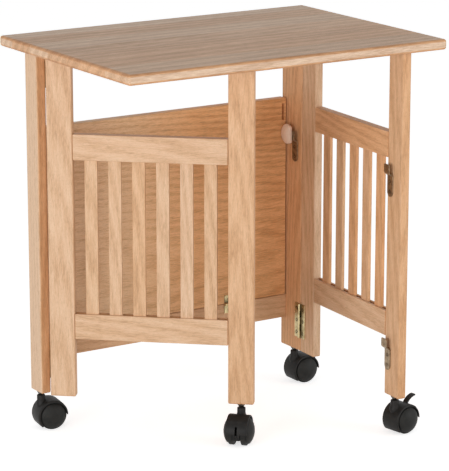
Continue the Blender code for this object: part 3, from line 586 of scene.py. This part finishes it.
def rolled_knuckle(low, high):
    """The leaf's edge rolled round the pin: a line in from the plate, then most of a circle, given
    thickness by half of it to either side and carried along the pin."""
    angle = np.radians(np.linspace(*ROLL_ENDS, 25))
    loop = ROLL_RADIUS * np.stack([np.cos(angle), np.sin(angle)], -1)
    path = np.concatenate([ROLL_LEAD, loop])
    way = np.gradient(path, axis=0)
    way /= np.linalg.norm(way, axis=1, keepdims=True)
    side = np.stack([-way[:, 1], way[:, 0]], -1) * ROLL_HALF
    outline = np.concatenate([path + side, (path - side)[::-1]])
    return closed_skin(np.stack([np.insert(outline, 2, level, 1) for level in (low, high)]))


def leaf_skins(length, first):
    """A leaf in the hinge's own frame: plate out along the first axis, wood under the second, pin
    along the third. The leaf with the end knuckles also carries the pin."""
    plate = board_rings(length, LEAF_WIDE - LEAF_START, LEAF_THICK, LEAF_EASE)
    middle = np.array([(LEAF_WIDE + LEAF_START) / 2, LEAF_LIFT + LEAF_THICK / 2, 0.0])
    skins = [closed_skin(plate[..., [1, 2, 0]] + middle)]
    knuckle = (length - (KNUCKLES - 1) * KNUCKLE_GAP) / KNUCKLES
    for number in range(first, KNUCKLES, 2):
        low = -length / 2 + number * (knuckle + KNUCKLE_GAP)
        skins.append(rolled_knuckle(low, low + knuckle))
    if first == 0:
        radius = PIN_RADIUS * np.array([0.2, 0.8, 1.0, 1.0, 0.8, 0.2])
        end = length / 2 + PIN_HEAD * np.array([1.0, 0.5, 0.0])
        skins.append(turned_skin(radius, np.concatenate([-end, end[::-1]]), 16))
    return skins


SCREW_RADIUS = 0.0033
SCREW_CROWN = 0.0005
SCREW_SUNK = 0.0012
# The rim ring of each screw head gets painted shade, as in a countersink gap.
SCREW_RIM_SHADE = (0.90, 0.96)
CROSS_HALF = 0.0008
CROSS_REACH = 0.0026
CROSS_DEEP = 0.0011
CROSS_SOFT = 0.0002
SCREW_TURN = (0.7, 1.9)
METAL_RELIEF_DEPTH = 0.0002


def screw_skin():
    """A screw head: a low dome whose height falls with the square of the radius, less a cross-shaped
    recess where the smaller of the two sideways distances is within the blade's half width. With it
    comes painted shade for each point: full in the recess and at the rim."""
    share = np.array([1.0, 1.0, 0.94, 0.84, 0.72, 0.6, 0.5, 0.4, 0.3, 0.2, 0.1, 0.03])[:, None]
    angle = np.linspace(0, 2 * np.pi, 48, endpoint=False)
    radius = SCREW_RADIUS * share
    x, y = radius * np.cos(angle), radius * np.sin(angle)
    arm = np.minimum(abs(x), abs(y))
    inside = np.clip((CROSS_HALF - arm) / CROSS_SOFT, 0, 1)
    inside = inside * np.clip((CROSS_REACH - radius) / CROSS_SOFT, 0, 1)
    height = SCREW_CROWN * (1 - share**2) - CROSS_DEEP * inside
    height[0] = -SCREW_SUNK
    dark = np.maximum(inside, np.interp(share, SCREW_RIM_SHADE, (0, 1)))
    return closed_skin(np.stack([x, y, height], -1)), dark.ravel()


def metal_finish(name, colour, dull, roughness, recess_shade=None):
    """Plated metal: a fine grain under the plating, cloudy tarnish that is duller and rougher, and
    painted shade where the points are marked, in recesses and creases."""
    material, shader = new_finish(name)
    place = add_node(material, "ShaderNodeTexCoord").outputs["Object"]
    cloud = add_noise(material, place, scale=160.0, detail=5.0)
    fine = add_noise(material, place, scale=1800.0, detail=3.0)
    tone = add_ramp(material, cloud, [(0.32, dull), (0.62, colour)])
    if recess_shade:
        painted_shade = add_node(material, "ShaderNodeAttribute", attribute_name="recess_shade").outputs["Fac"]
        tone = add_mix(material, painted_shade, tone, (*recess_shade, 1.0))
    gloss = (cloud, (0.3, 0.7), (roughness + 0.1, roughness))
    lay_on(material, shader, tone, gloss, relief=(fine, 0.12, METAL_RELIEF_DEPTH))
    shader.inputs["Metallic"].default_value = 1.0
    return material


# Each metal's recess colour is painted shade for the marked recesses and creases.
BRASS = metal_finish(
    "hinge_brass", (0.66, 0.55, 0.31), (0.40, 0.31, 0.15), 0.26, recess_shade=(0.05, 0.035, 0.015)
)
SCREW_BRASS = metal_finish(
    "screw_brass", (0.055, 0.042, 0.022), (0.03, 0.022, 0.012), 0.5, recess_shade=(0.004, 0.003, 0.002)
)


def add_screws(name, spots, axes, body, finish):
    """Screw heads on a fitting, each on its spot and turned as it stopped, as one piece."""
    skins, recess_shade = [], []
    for number, spot in enumerate(spots):
        skin, dark = screw_skin()
        stopped = turned_axes(SCREW_TURN[0] + SCREW_TURN[1] * number).T
        skins.append(placed(skin, stopped @ axes, spot))
        recess_shade.append(dark)
    marks = {"recess_shade": ("FLOAT", "value", np.concatenate(recess_shade))}
    add_piece(name, skins, finish, body, (), marks)


def add_leaf(node, name, length, first, body, pin, across, out):
    """A hinge leaf and its screws at a pin, with the plate across and the wood behind it. Painted shade
    darkens the crease beside the knuckles, where their shadow falls."""
    axes = np.stack([across, out, np.cross(across, out)])
    flat = leaf_skins(length, first)
    away = np.concatenate([points[:, 0] for points, quads, ends in flat])
    # Painted shade on the leaf beside the knuckles.
    crease_shade = np.clip((LEAF_START + CREASE_SHADE_REACH - away) / CREASE_SHADE_SOFT, 0, 1) * (away > CREASE_SHADE_FROM)
    marks = {"recess_shade": ("FLOAT", "value", crease_shade * CREASE_SHADE_ON_LEAF[first])}
    skins = [placed(skin, axes, pin) for skin in flat]
    add_piece(name, skins, BRASS, body, [node], marks)
    middle = (LEAF_START + LEAF_WIDE) / 2
    levels = np.linspace(-1, 1, 3) * (length / 2 - LEAF_SCREW_MARGIN)
    spots = [pin + np.array([middle, LEAF_LIFT + LEAF_THICK, level]) @ axes for level in levels]
    add_screws(name + "_screws", spots, axes[[2, 0, 1]], body, SCREW_BRASS)


joints = {joint["name"]: joint for joint in frame["joints"]}
rail_low, rail_high = corners_of("back_bottom_rail")
seam = (rail_high[2] + shelf_low[2]) / 2
for side in ("left", "right"):
    hinge = "shelf_" + side + "_hinge"
    low, high = corners_of(hinge + "_rail_leaf")
    pin = np.array([(low[0] + high[0]) / 2, rail_low[1] - PIN_STANDOFF, seam])
    length = high[0] - low[0]
    add_leaf(
        hinge + "_rail_leaf", hinge + "_lower_plate", length, 0, "back_frame", pin, (0, 0, -1), (0, -1, 0)
    )
    add_leaf(
        hinge + "_board_leaf", hinge + "_upper_plate", length, 1, "back_frame", pin, (0, 0, 1), (0, -1, 0)
    )

INWARD = {"left": 1.0, "right": -1.0}
for side, turn in PANEL_TURNS.items():
    on_post = (0, 1, 0), (INWARD[side], 0, 0)
    panel_axes = turned_axes(turn).T
    on_panel = panel_axes[0], INWARD[side] * panel_axes[1]
    pin_x, pin_y = joints[side + "_panel_swing"]["pos_m"][:2]
    for place in ("lower", "upper"):
        hinge = side + "_" + place + "_hinge"
        low, high = corners_of(hinge + "_post_leaf")
        pin = np.array([pin_x, pin_y, (low[2] + high[2]) / 2])
        length = high[2] - low[2]
        add_leaf(hinge + "_post_leaf", hinge + "_fixed_plate", length, 0, "back_frame", pin, *on_post)
        add_leaf(
            hinge + "_panel_leaf", hinge + "_swing_plate", length, 1, side + "_panel", pin, *on_panel
        )

# Strap clips
# Stamped steel straps in a dull bronze finish: a plate with a round lower end, screwed to the post, and
# a tongue that is joggled off the wood to take the shelf's notch.
STRAP_WIDE = 0.0165
STRAP_LONG = 0.057
STRAP_THICK = 0.0018
STRAP_EASE = 0.0004
STRAP_EASE_SHARE = 0.4
STRAP_FLAT = 0.0001
STRAP_NEAR = 0.0003
STRAP_FAR = 0.0075
STRAP_TONGUE = 0.0135
STRAP_BEND = 0.008
STRAP_BEND_MARGIN = 0.001
STRAP_TIP_ROUND = 0.0022
STRAP_TIP_CURVE = 0.0035
STRAP_TIP_ROWS = (STRAP_TIP_ROUND, 0.0012, 0.0005, 0.0001)
STRAP_HOLES = (0.009, 0.027)
BRONZE = metal_finish("strap_bronze", (0.38, 0.29, 0.19), (0.21, 0.15, 0.095), 0.36)
SCREW_BRONZE = metal_finish(
    "strap_screw_bronze", (0.16, 0.12, 0.078), (0.08, 0.058, 0.036), 0.42, recess_shade=(0.008, 0.006, 0.004)
)


def strap_skin():
    """A flat section carried up the joggled strap: it stands off by a smooth step between the plate and
    the tongue, and its width follows a half circle at the foot and small corners at the tip. Each section
    is turned square to the strap's run."""
    half = STRAP_WIDE / 2
    foot = half * (1 - np.cos(np.radians(np.linspace(6, 90, 14))))
    bend_low = STRAP_LONG - STRAP_TONGUE - STRAP_BEND
    bend = np.linspace(bend_low - STRAP_BEND_MARGIN, bend_low + STRAP_BEND + STRAP_BEND_MARGIN, 13)
    rise = np.concatenate([foot, bend, STRAP_LONG - np.array(STRAP_TIP_ROWS)])
    step = np.clip((rise - bend_low) / STRAP_BEND, 0, 1)
    off = STRAP_NEAR + (STRAP_FAR - STRAP_NEAR) * step**2 * (3 - 2 * step) + STRAP_THICK / 2
    wide = np.where(rise < half, np.sqrt(np.maximum(half**2 - (half - rise) ** 2, 0)), half)
    wide = wide - np.clip(STRAP_TIP_ROUND - (STRAP_LONG - rise), 0, 1) ** 2 / STRAP_TIP_CURVE
    run = np.stack([np.gradient(off), np.gradient(rise)], -1)
    run /= np.linalg.norm(run, axis=1, keepdims=True)
    eases = np.minimum(STRAP_EASE, STRAP_EASE_SHARE * wide)
    sections = [eased_section(2 * w, STRAP_THICK, ease, 0.0, STRAP_FLAT) for w, ease in zip(wide, eases)]
    across, through = np.moveaxis(np.stack(sections), -1, 0)
    out = off[:, None] + run[:, 1:] * through
    up = rise[:, None] - STRAP_LONG - run[:, :1] * through
    return closed_skin(np.stack([across, out, up], -1))


def add_strap(node, name, body, tip, across, out):
    """A strap with its tongue's end at a point, its width across and the wood behind it."""
    axes = np.stack([across, out, (0, 0, 1)])
    add_piece(name, [placed(strap_skin(), axes, tip)], BRONZE, body, [node])
    face = STRAP_NEAR + STRAP_THICK
    spots = [tip + np.array([0, face, lift - STRAP_LONG]) @ axes for lift in STRAP_HOLES]
    add_screws(name + "_screws", spots, axes[[2, 0, 1]], body, SCREW_BRONZE)


for side, turn in PANEL_TURNS.items():
    panel_axes = turned_axes(turn).T
    on_panel = panel_axes[0], INWARD[side] * panel_axes[1]
    for place in ("lower", "upper"):
        node = side + "_" + place + "_strap"
        low, high = corners_of(node, turn)
        wood = low[1] - STRAP_NEAR if side == "left" else high[1] + STRAP_NEAR
        tip = np.array([(low[0] + high[0]) / 2, wood, high[2]]) @ panel_axes
        add_strap(node, side + "_" + place + "_clip", side + "_panel", tip, *on_panel)

low, high = corners_of("shelf_catch_strap")
catch_tip = np.array([high[0] + STRAP_NEAR, (low[1] + high[1]) / 2, high[2]])
add_strap("shelf_catch_strap", "shelf_catch_clip", "back_frame", catch_tip, (0, 1, 0), (-1, 0, 0))

# Catch button
# A half-round button of pale wood, turned with a domed face and sawn straight along one side. It is
# screwed to the tongue of the catch clip, and turning it moves its round side over the shelf or clear.
BUTTON_RIM = 0.0022
BUTTON_DOME = 0.55
BUTTON_BACK_EASE = 0.0005
BUTTON_FLAT_PAST_SCREW = 0.0025
BUTTON_LOG = 41
BUTTON_TONE = 0.5
low, high = corners_of("shelf_catch_button")
button_middle = (low + high) / 2
button_radius = (high[2] - low[2]) / 2
button_thick = high[0] - low[0]
flat_side = button_middle[1] - joints["catch_turn"]["pos_m"][1] + BUTTON_FLAT_PAST_SCREW


def button_rings():
    """Rings about the button's middle: each is a share of a circle cut off by a straight side, and the
    face rises from the rim by a power of one less the share squared. Points are (out, across, up)."""
    angle = np.linspace(0, 2 * np.pi, 72, endpoint=False)
    reach = np.minimum(button_radius, flat_side / np.maximum(-np.cos(angle), 1e-6))
    face = np.concatenate([np.linspace(0.02, 0.9, 12), [0.95, 0.985, 1.0]])
    rise = BUTTON_RIM + (button_thick - BUTTON_RIM) * (1 - face**2) ** BUTTON_DOME
    share = np.concatenate([face, [1.0, 0.985, 0.02]])
    out = np.concatenate([rise, [BUTTON_BACK_EASE, 0.0, 0.0]])
    across = share[:, None] * reach * np.cos(angle)
    up = share[:, None] * reach * np.sin(angle)
    return np.stack([np.broadcast_to(-out[:, None], up.shape), across, up], -1)


button_skin = closed_skin(button_rings())
button_log = button_skin[0][:, [2, 1, 0]] + log_place(BUTTON_LOG)
button_back = np.array([high[0], button_middle[1], button_middle[2]])
BUTTON_WOOD = wood_finish(
    "button_wood", (0.87, 0.69, 0.56), (0.83, 0.62, 0.48), (0.73, 0.50, 0.37), figure=0.08, vessels=0.15
)
add_piece(
    "catch_button_disc",
    [placed(button_skin, np.eye(3), button_back)],
    BUTTON_WOOD,
    "catch_button",
    ["shelf_catch_button"],
    grain_marks(button_log, BUTTON_TONE),
)

# Caster hoods
# Each caster's swivel body is one black plastic moulding: a fender arched over both wheels, a web
# between them that carries the steel axle, and a round neck bored for the stem.
CASTER_PLACES = ("back_left", "back_right", "left_front", "right_front")
WHEEL_RADIUS = 0.025
FENDER_INNER = 0.0259
FENDER_OUTER = 0.0275
FENDER_HALF = 0.01875
FENDER_SHOULDER = 0.0016
FENDER_LIP = 0.0011
FENDER_LIP_INNER = 0.0243
FENDER_ENDS = (0.0, 222.0)
FENDER_SLIT_TOP = 29.0
FENDER_STEP_AT = 49.0
FENDER_STEP_SPAN = 2.0
FENDER_STEP = 0.0005
FENDER_MARGIN = 0.0001
WEB_HALF = 0.0062
WEB_EASE = 0.0004
WEB_INTO_FENDER = 0.0006
WEB_RADIUS = FENDER_INNER + WEB_INTO_FENDER
WEB_ENDS = (-26.0, 224.0)
WEB_SLOT_HALF = 0.0019
WEB_SLOT_EASE = 0.0001
WEB_SLOT = (0.0235, 0.0385)
WEB_SLOT_FLOOR = 0.012
NECK_RADIUS = 0.0072
NECK_SHARES = (0.9, 1.32, 1.18, 1.06, 1.0, 1.0, 0.96, 0.86, 0.6, 0.5)
NECK_LEVELS = (0.034, 0.044, 0.0475, 0.05, 0.053, 0.0598, 0.0606, 0.061, 0.061, 0.0585)
PLASTIC_SHEEN = 0.16
PEBBLE_DEPTH = 0.0002


def plastic_finish(name, colour, scuff, roughness):
    """Moulded plastic: an even fine pebble from the mould, faint flow marks and pale scuffs."""
    material, shader = new_finish(name)
    place = add_node(material, "ShaderNodeTexCoord").outputs["Object"]
    pebble = add_noise(material, place, scale=2200.0, detail=2.0)
    flow = add_noise(material, place, scale=85.0, detail=4.0)
    tone = add_ramp(material, flow, [(0.35, colour), (0.75, scuff)])
    gloss = (flow, (0.3, 0.7), (roughness, roughness + 0.12))
    lay_on(material, shader, tone, gloss, relief=(pebble, 0.18, PEBBLE_DEPTH))
    shader.inputs["Specular IOR Level"].default_value = PLASTIC_SHEEN
    return material


BLACK_PLASTIC = plastic_finish("caster_plastic", (0.010, 0.0095, 0.009), (0.021, 0.019, 0.017), 0.45)


def caster_frame(place):
    """The foot of a caster's swivel axis, its axes, forward to the wheels, sideways and up, and how far
    forward the axle is."""
    foot = np.array(joints[place + "_swivel"]["pos_m"])
    axle = np.array(joints[place + "_left_wheel_spin"]["pos_m"])
    forward = np.array([axle[0] - foot[0], axle[1] - foot[1], 0.0])
    trail = np.linalg.norm(forward)
    forward /= trail
    axes = np.stack([forward, np.cross((0, 0, 1), forward), (0, 0, 1)])
    return np.array([foot[0], foot[1], 0.0]), axes, trail


def fender_skin(trail, start, end, near, side):
    """A shallow channel section, flat on top with rounded shoulders and a lip at each side, carried round
    the axle between two angles: (trail + r cos, y, axle + r sin). The outside drops by a small step on
    the trailing side. With a side given, only the half from a near distance outwards is made."""
    outer_y = FENDER_HALF - FENDER_SHOULDER + FENDER_SHOULDER * np.sin(THIRDS)
    outer_r = FENDER_OUTER - FENDER_SHOULDER + FENDER_SHOULDER * np.cos(THIRDS)
    wall = FENDER_HALF - FENDER_LIP
    inner_r = [FENDER_LIP_INNER, FENDER_LIP_INNER, FENDER_INNER, FENDER_INNER]
    y = np.concatenate([[near], outer_y, [FENDER_HALF, wall, wall, near]])
    r = np.concatenate([[FENDER_OUTER], outer_r, inner_r])
    if not side:
        y, r = np.concatenate([y, -y[-2:0:-1]]), np.concatenate([r, r[-2:0:-1]])
    degrees = np.linspace(start, end, 60)
    angle = np.radians(degrees)[:, None]
    drop = FENDER_STEP * np.clip((FENDER_STEP_AT - degrees) / FENDER_STEP_SPAN, 0, 1)
    radius = np.where(r > FENDER_INNER + FENDER_MARGIN, r - drop[:, None], r)
    sideways = np.broadcast_to((side or 1.0) * y, radius.shape)
    forward, up = trail + np.cos(angle) * radius, WHEEL_RADIUS + np.sin(angle) * radius
    return closed_skin(np.stack([forward, sideways, up], -1))


def plate_skin(outline, near, far, ease):
    """A flat outline in the forward and up directions, given thickness sideways with eased rims."""
    middle = outline.mean(0)
    drawn = middle + (outline - middle) * (1 - ease / np.abs(outline - middle).max())
    rows = [(drawn, near), (outline, near + ease), (outline, far - ease), (drawn, far)]
    return closed_skin(np.stack([np.insert(shape, 1, level, 1) for shape, level in rows]))


def web_outline(trail, notched):
    """The web seen from the side: a circle inside the fender, cut off above the floor on a slant that
    rises to the trailing side, and where the pocket is, set back between two heights there."""
    angle = np.radians(np.linspace(*WEB_ENDS, 90))
    x, z = trail + WEB_RADIUS * np.cos(angle), WHEEL_RADIUS + WEB_RADIUS * np.sin(angle)
    in_slot = (z > WEB_SLOT[0]) & (z < WEB_SLOT[1]) & (x > trail) & notched
    return np.stack([np.where(in_slot, trail + WEB_SLOT_FLOOR, x), z], -1)


def hood_skins(trail):
    """Fender slit up its trailing end, web with a pocket behind the slit, and neck, in the caster's own
    frame."""
    cheek = web_outline(trail, False)
    core = web_outline(trail, True)
    return [
        fender_skin(trail, FENDER_SLIT_TOP, FENDER_ENDS[1], 0.0, 0),
        fender_skin(trail, FENDER_ENDS[0], FENDER_SLIT_TOP, WEB_SLOT_HALF, 1),
        fender_skin(trail, FENDER_ENDS[0], FENDER_SLIT_TOP, WEB_SLOT_HALF, -1),
        plate_skin(cheek, -WEB_HALF, -WEB_SLOT_HALF, WEB_EASE),
        plate_skin(core, -WEB_SLOT_HALF, WEB_SLOT_HALF, WEB_SLOT_EASE),
        plate_skin(cheek, WEB_SLOT_HALF, WEB_HALF, WEB_EASE),
        turned_skin(NECK_RADIUS * np.array(NECK_SHARES), NECK_LEVELS, 40),
    ]


for place in CASTER_PLACES:
    foot, axes, trail = caster_frame(place)
    add_piece(
        place + "_hood_moulding",
        [placed(skin, axes, foot) for skin in hood_skins(trail)],
        BLACK_PLASTIC,
        place + "_caster",
        [place + "_caster_hood"],
    )

# Caster wheels
# Solid black plastic wheels in pairs on a steel axle, with a flat tread, a step at the rim that runs
# inside the fender's lip, and a domed outer face with a shallow ring round it.
WHEEL_INNER = 0.00675
WHEEL_OUTER = 0.0265
WHEEL_DOME_RADIUS = 0.0213
WHEEL_DOME_START = 0.0191
WHEEL_DOME_POWER = 0.85
WHEEL_SIDES = {"left_wheel": 1.0, "right_wheel": -1.0}
WHEEL_PLASTIC = plastic_finish("wheel_plastic", (0.011, 0.011, 0.010), (0.023, 0.022, 0.020), 0.48)


def wheel_profile():
    """Radius and distance from the middle plane, from the hub inside to the centre of the dome: the dome
    rises by a power of one less the square of its share of the radius."""
    inside = [(0.0032, 0.0090), (0.0080, 0.0090), (0.0090, 0.0072), (0.0200, 0.0072)]
    tread = [(0.0222, WHEEL_INNER), (0.0244, 0.0068), (0.0249, 0.0072), (WHEEL_RADIUS, 0.0080)]
    rim = [(WHEEL_RADIUS, 0.0140), (0.0247, 0.0148), (0.0238, 0.0152), (0.0229, 0.0152)]
    groove = [(0.0219, 0.0155), (0.0218, 0.0184), (0.0216, 0.0188)]
    share = np.linspace(1.0, 0.02, 18)
    rise = (WHEEL_OUTER - WHEEL_DOME_START) * (1 - share**2) ** WHEEL_DOME_POWER
    dome = np.stack([WHEEL_DOME_RADIUS * share, WHEEL_DOME_START + rise], -1)
    return np.concatenate([inside, tread, rim, groove, dome]).T


for place in CASTER_PLACES:
    foot, axes, trail = caster_frame(place)
    centre = foot + trail * axes[0] + WHEEL_RADIUS * axes[2]
    for name, side in WHEEL_SIDES.items():
        wheel_axes = np.stack([axes[0], -side * axes[2], side * axes[1]])
        add_piece(
            place + "_" + name + "_moulding",
            [placed(turned_skin(*wheel_profile(), 64), wheel_axes, centre)],
            WHEEL_PLASTIC,
            place + "_" + name,
            [place + "_caster_" + name],
        )

# Caster stems
# Plated steel pins, each turned in one piece and pressed up into a bore in its post. Under the post it
# has a cone, which the caster's neck turns on.
STEM_RADIUS = 0.0035
STEM_SHARES = (0.3, 1.0, 1.0, 1.15, 1.55, 2.0, 2.0, 1.0, 1.0, 0.6)
STEM_TIP = 0.001
CONE_TOP = 0.0677
CONE_DROPS = (0.0062, 0.0055, 0.0034, 0.0008, 0.0, 0.0)
STEEL = metal_finish("stem_steel", (0.20, 0.18, 0.15), (0.09, 0.08, 0.07), 0.35)
for place in CASTER_PLACES:
    foot, axes = caster_frame(place)[:2]
    low, high = corners_of(place + "_caster_stem")
    cone = CONE_TOP - np.array(CONE_DROPS)
    level = np.concatenate([[low[2], low[2]], cone, [high[2] - STEM_TIP, high[2]]])
    stem = turned_skin(STEM_RADIUS * np.array(STEM_SHARES), level, 32)
    add_piece(
        place + "_stem_pin",
        [placed(stem, axes, foot)],
        STEEL,
        place + "_caster",
        [place + "_caster_stem"],
    )

# Brake lever
# A black plastic pedal on the right front caster that pivots in the hood: pressed down, it jams a wheel.
# It leans up out of the fender and turns over flatter towards its tip.
LEVER_WIDE = 0.0105
LEVER_THICK = 0.0036
LEVER_LONG = 0.0262
LEVER_EASE = 0.0006
LEVER_FLAT = 0.0002
LEVER_LEAN = 64.0
LEVER_TURN_OVER = 58.0
LEVER_CURVE = 1.2
LEVER_ROOT_WIDTH = 0.92
LEVER_TAPER = 0.25
LEVER_ROWS = 15


def lever_rings():
    """An eased section carried up a path whose lean falls from the pivot to the tip by a power of the
    share of the way. The section gets thinner and a little wider, and is turned square to the path."""
    share = np.linspace(0, 1, LEVER_ROWS)
    lean = np.radians(LEVER_LEAN - LEVER_TURN_OVER * share**LEVER_CURVE)
    step = LEVER_LONG / (LEVER_ROWS - 1)
    path = np.cumsum(np.stack([np.cos(lean), np.sin(lean)], -1) * step, axis=0)
    path -= path[0]
    wide = LEVER_WIDE * (LEVER_ROOT_WIDTH + (1 - LEVER_ROOT_WIDTH) * share)
    thick = LEVER_THICK * (1 - LEVER_TAPER * share)
    sections = [eased_section(w, t, LEVER_EASE, 0.0, LEVER_FLAT) for w, t in zip(wide, thick)]
    across, through = np.moveaxis(np.stack(sections), -1, 0)
    out = path[:, :1] - np.sin(lean)[:, None] * through
    up = path[:, 1:] + np.cos(lean)[:, None] * through
    return np.stack([out, across, up], -1)


lever_axes = caster_frame("right_front")[1]
lever_pivot = np.array(joints["brake_press"]["pos_m"])
add_piece(
    "brake_pedal",
    [placed(closed_skin(lever_rings()), lever_axes, lever_pivot)],
    BLACK_PLASTIC,
    "brake_lever",
    ["brake_lever"],
)

# Studio
# A white floor that runs out of sight and keeps a soft shadow, large soft lights from the front left,
# the left, the front and the front right, and a pale surround.
FLOOR_HALF = 20.0
FLOOR_GREY = (0.82, 0.82, 0.82, 1.0)
FLOOR_ROUGHNESS = 0.9
FLOOR_GLOW = 0.66
SURROUND_LIGHT = 0.40
WHITE = (1.0, 1.0, 1.0, 1.0)


def seen_or_mirrored(tree):
    """One where a ray comes from the camera, a mirror or a clear surface, and nought elsewhere."""
    path = tree.nodes.new("ShaderNodeLightPath")
    total = path.outputs["Is Camera Ray"]
    for name in ("Is Glossy Ray", "Is Transmission Ray"):
        larger = tree.nodes.new("ShaderNodeMath")
        larger.operation = "MAXIMUM"
        tree.links.new(total, larger.inputs[0])
        tree.links.new(path.outputs[name], larger.inputs[1])
        total = larger.outputs[0]
    return total


floor_corners = FLOOR_HALF * np.array([(-1, -1, 0), (1, -1, 0), (1, 1, 0), (-1, 1, 0)])
floor_mesh = bpy.data.meshes.new("studio_floor")
floor_mesh.from_pydata(floor_corners, [], [(0, 1, 2, 3)])
floor = bpy.data.objects.new("studio_floor", floor_mesh)
bpy.context.scene.collection.objects.link(floor)
floor_finish, floor_paint = new_finish("studio_floor")
floor_paint.inputs["Base Color"].default_value = FLOOR_GREY
floor_paint.inputs["Roughness"].default_value = FLOOR_ROUGHNESS
floor_paint.inputs["Specular IOR Level"].default_value = 0.0
floor_paint.inputs["Emission Color"].default_value = WHITE
floor_tree = floor_finish.node_tree
floor_glow = add_math(floor_finish, "MULTIPLY", seen_or_mirrored(floor_tree), FLOOR_GLOW)
floor_tree.links.new(floor_glow, floor_paint.inputs["Emission Strength"])
floor_mesh.materials.append(floor_finish)

world = bpy.data.worlds.new("studio_surround")
bpy.context.scene.world = world
world.use_nodes = True
surround = world.node_tree.nodes["Background"]
surround.inputs["Color"].default_value = WHITE
strength = {"Value": seen_or_mirrored(world.node_tree), "To Min": SURROUND_LIGHT, "To Max": 1.0}
surround_level = add_node(world, "ShaderNodeMapRange", strength)
world.node_tree.links.new(surround_level.outputs[0], surround.inputs["Strength"])


def add_lamp(name, place, aim, size, power):
    """A square soft light at a place, turned to face a point."""
    data = bpy.data.lights.new(name, "AREA")
    data.shape = "SQUARE"
    data.size = size
    data.energy = power
    lamp = bpy.data.objects.new(name, data)
    bpy.context.scene.collection.objects.link(lamp)
    lamp.location = place
    lamp.rotation_euler = (Vector(place) - Vector(aim)).to_track_quat("Z", "Y").to_euler()


add_lamp("main_soft_light", (-3.0, -1.40, 0.62), (0.0, 0.0, 0.40), size=1.2, power=36.0)
add_lamp("left_soft_light", (-3.0, -0.45, 0.62), (0.0, 0.0, 0.40), size=1.2, power=12.0)
add_lamp("right_soft_light", (2.10, -2.55, 0.80), (0.0, 0.0, 0.35), size=1.6, power=37.0)
add_lamp("front_soft_light", (-1.70, -2.90, 0.75), (0.0, 0.0, 0.35), size=1.6, power=19.0)

# Camera
# A long lens from the photograph's side, front left and above the top. It points down a little, with
# no shift, so that the other views keep the object in their frame.
CAMERA_PLACE = (-2.2476, -3.5593, 1.4092)
CAMERA_YAW = np.radians(32.319)
CAMERA_PITCH = np.radians(14.172)
CAMERA_FOCUS_PIXELS = 2562.5
IMAGE_HEIGHT = 471
camera_data = bpy.data.cameras.new("studio_camera")
camera_data.sensor_width = 36.0
camera_data.lens = CAMERA_FOCUS_PIXELS * camera_data.sensor_width / IMAGE_HEIGHT
camera = bpy.data.objects.new("studio_camera", camera_data)
camera.location = CAMERA_PLACE
camera.rotation_euler = (np.pi / 2 - CAMERA_PITCH, 0.0, -CAMERA_YAW)
bpy.context.scene.collection.objects.link(camera)
bpy.context.scene.camera = camera
bpy.context.scene.view_settings.view_transform = "Standard"
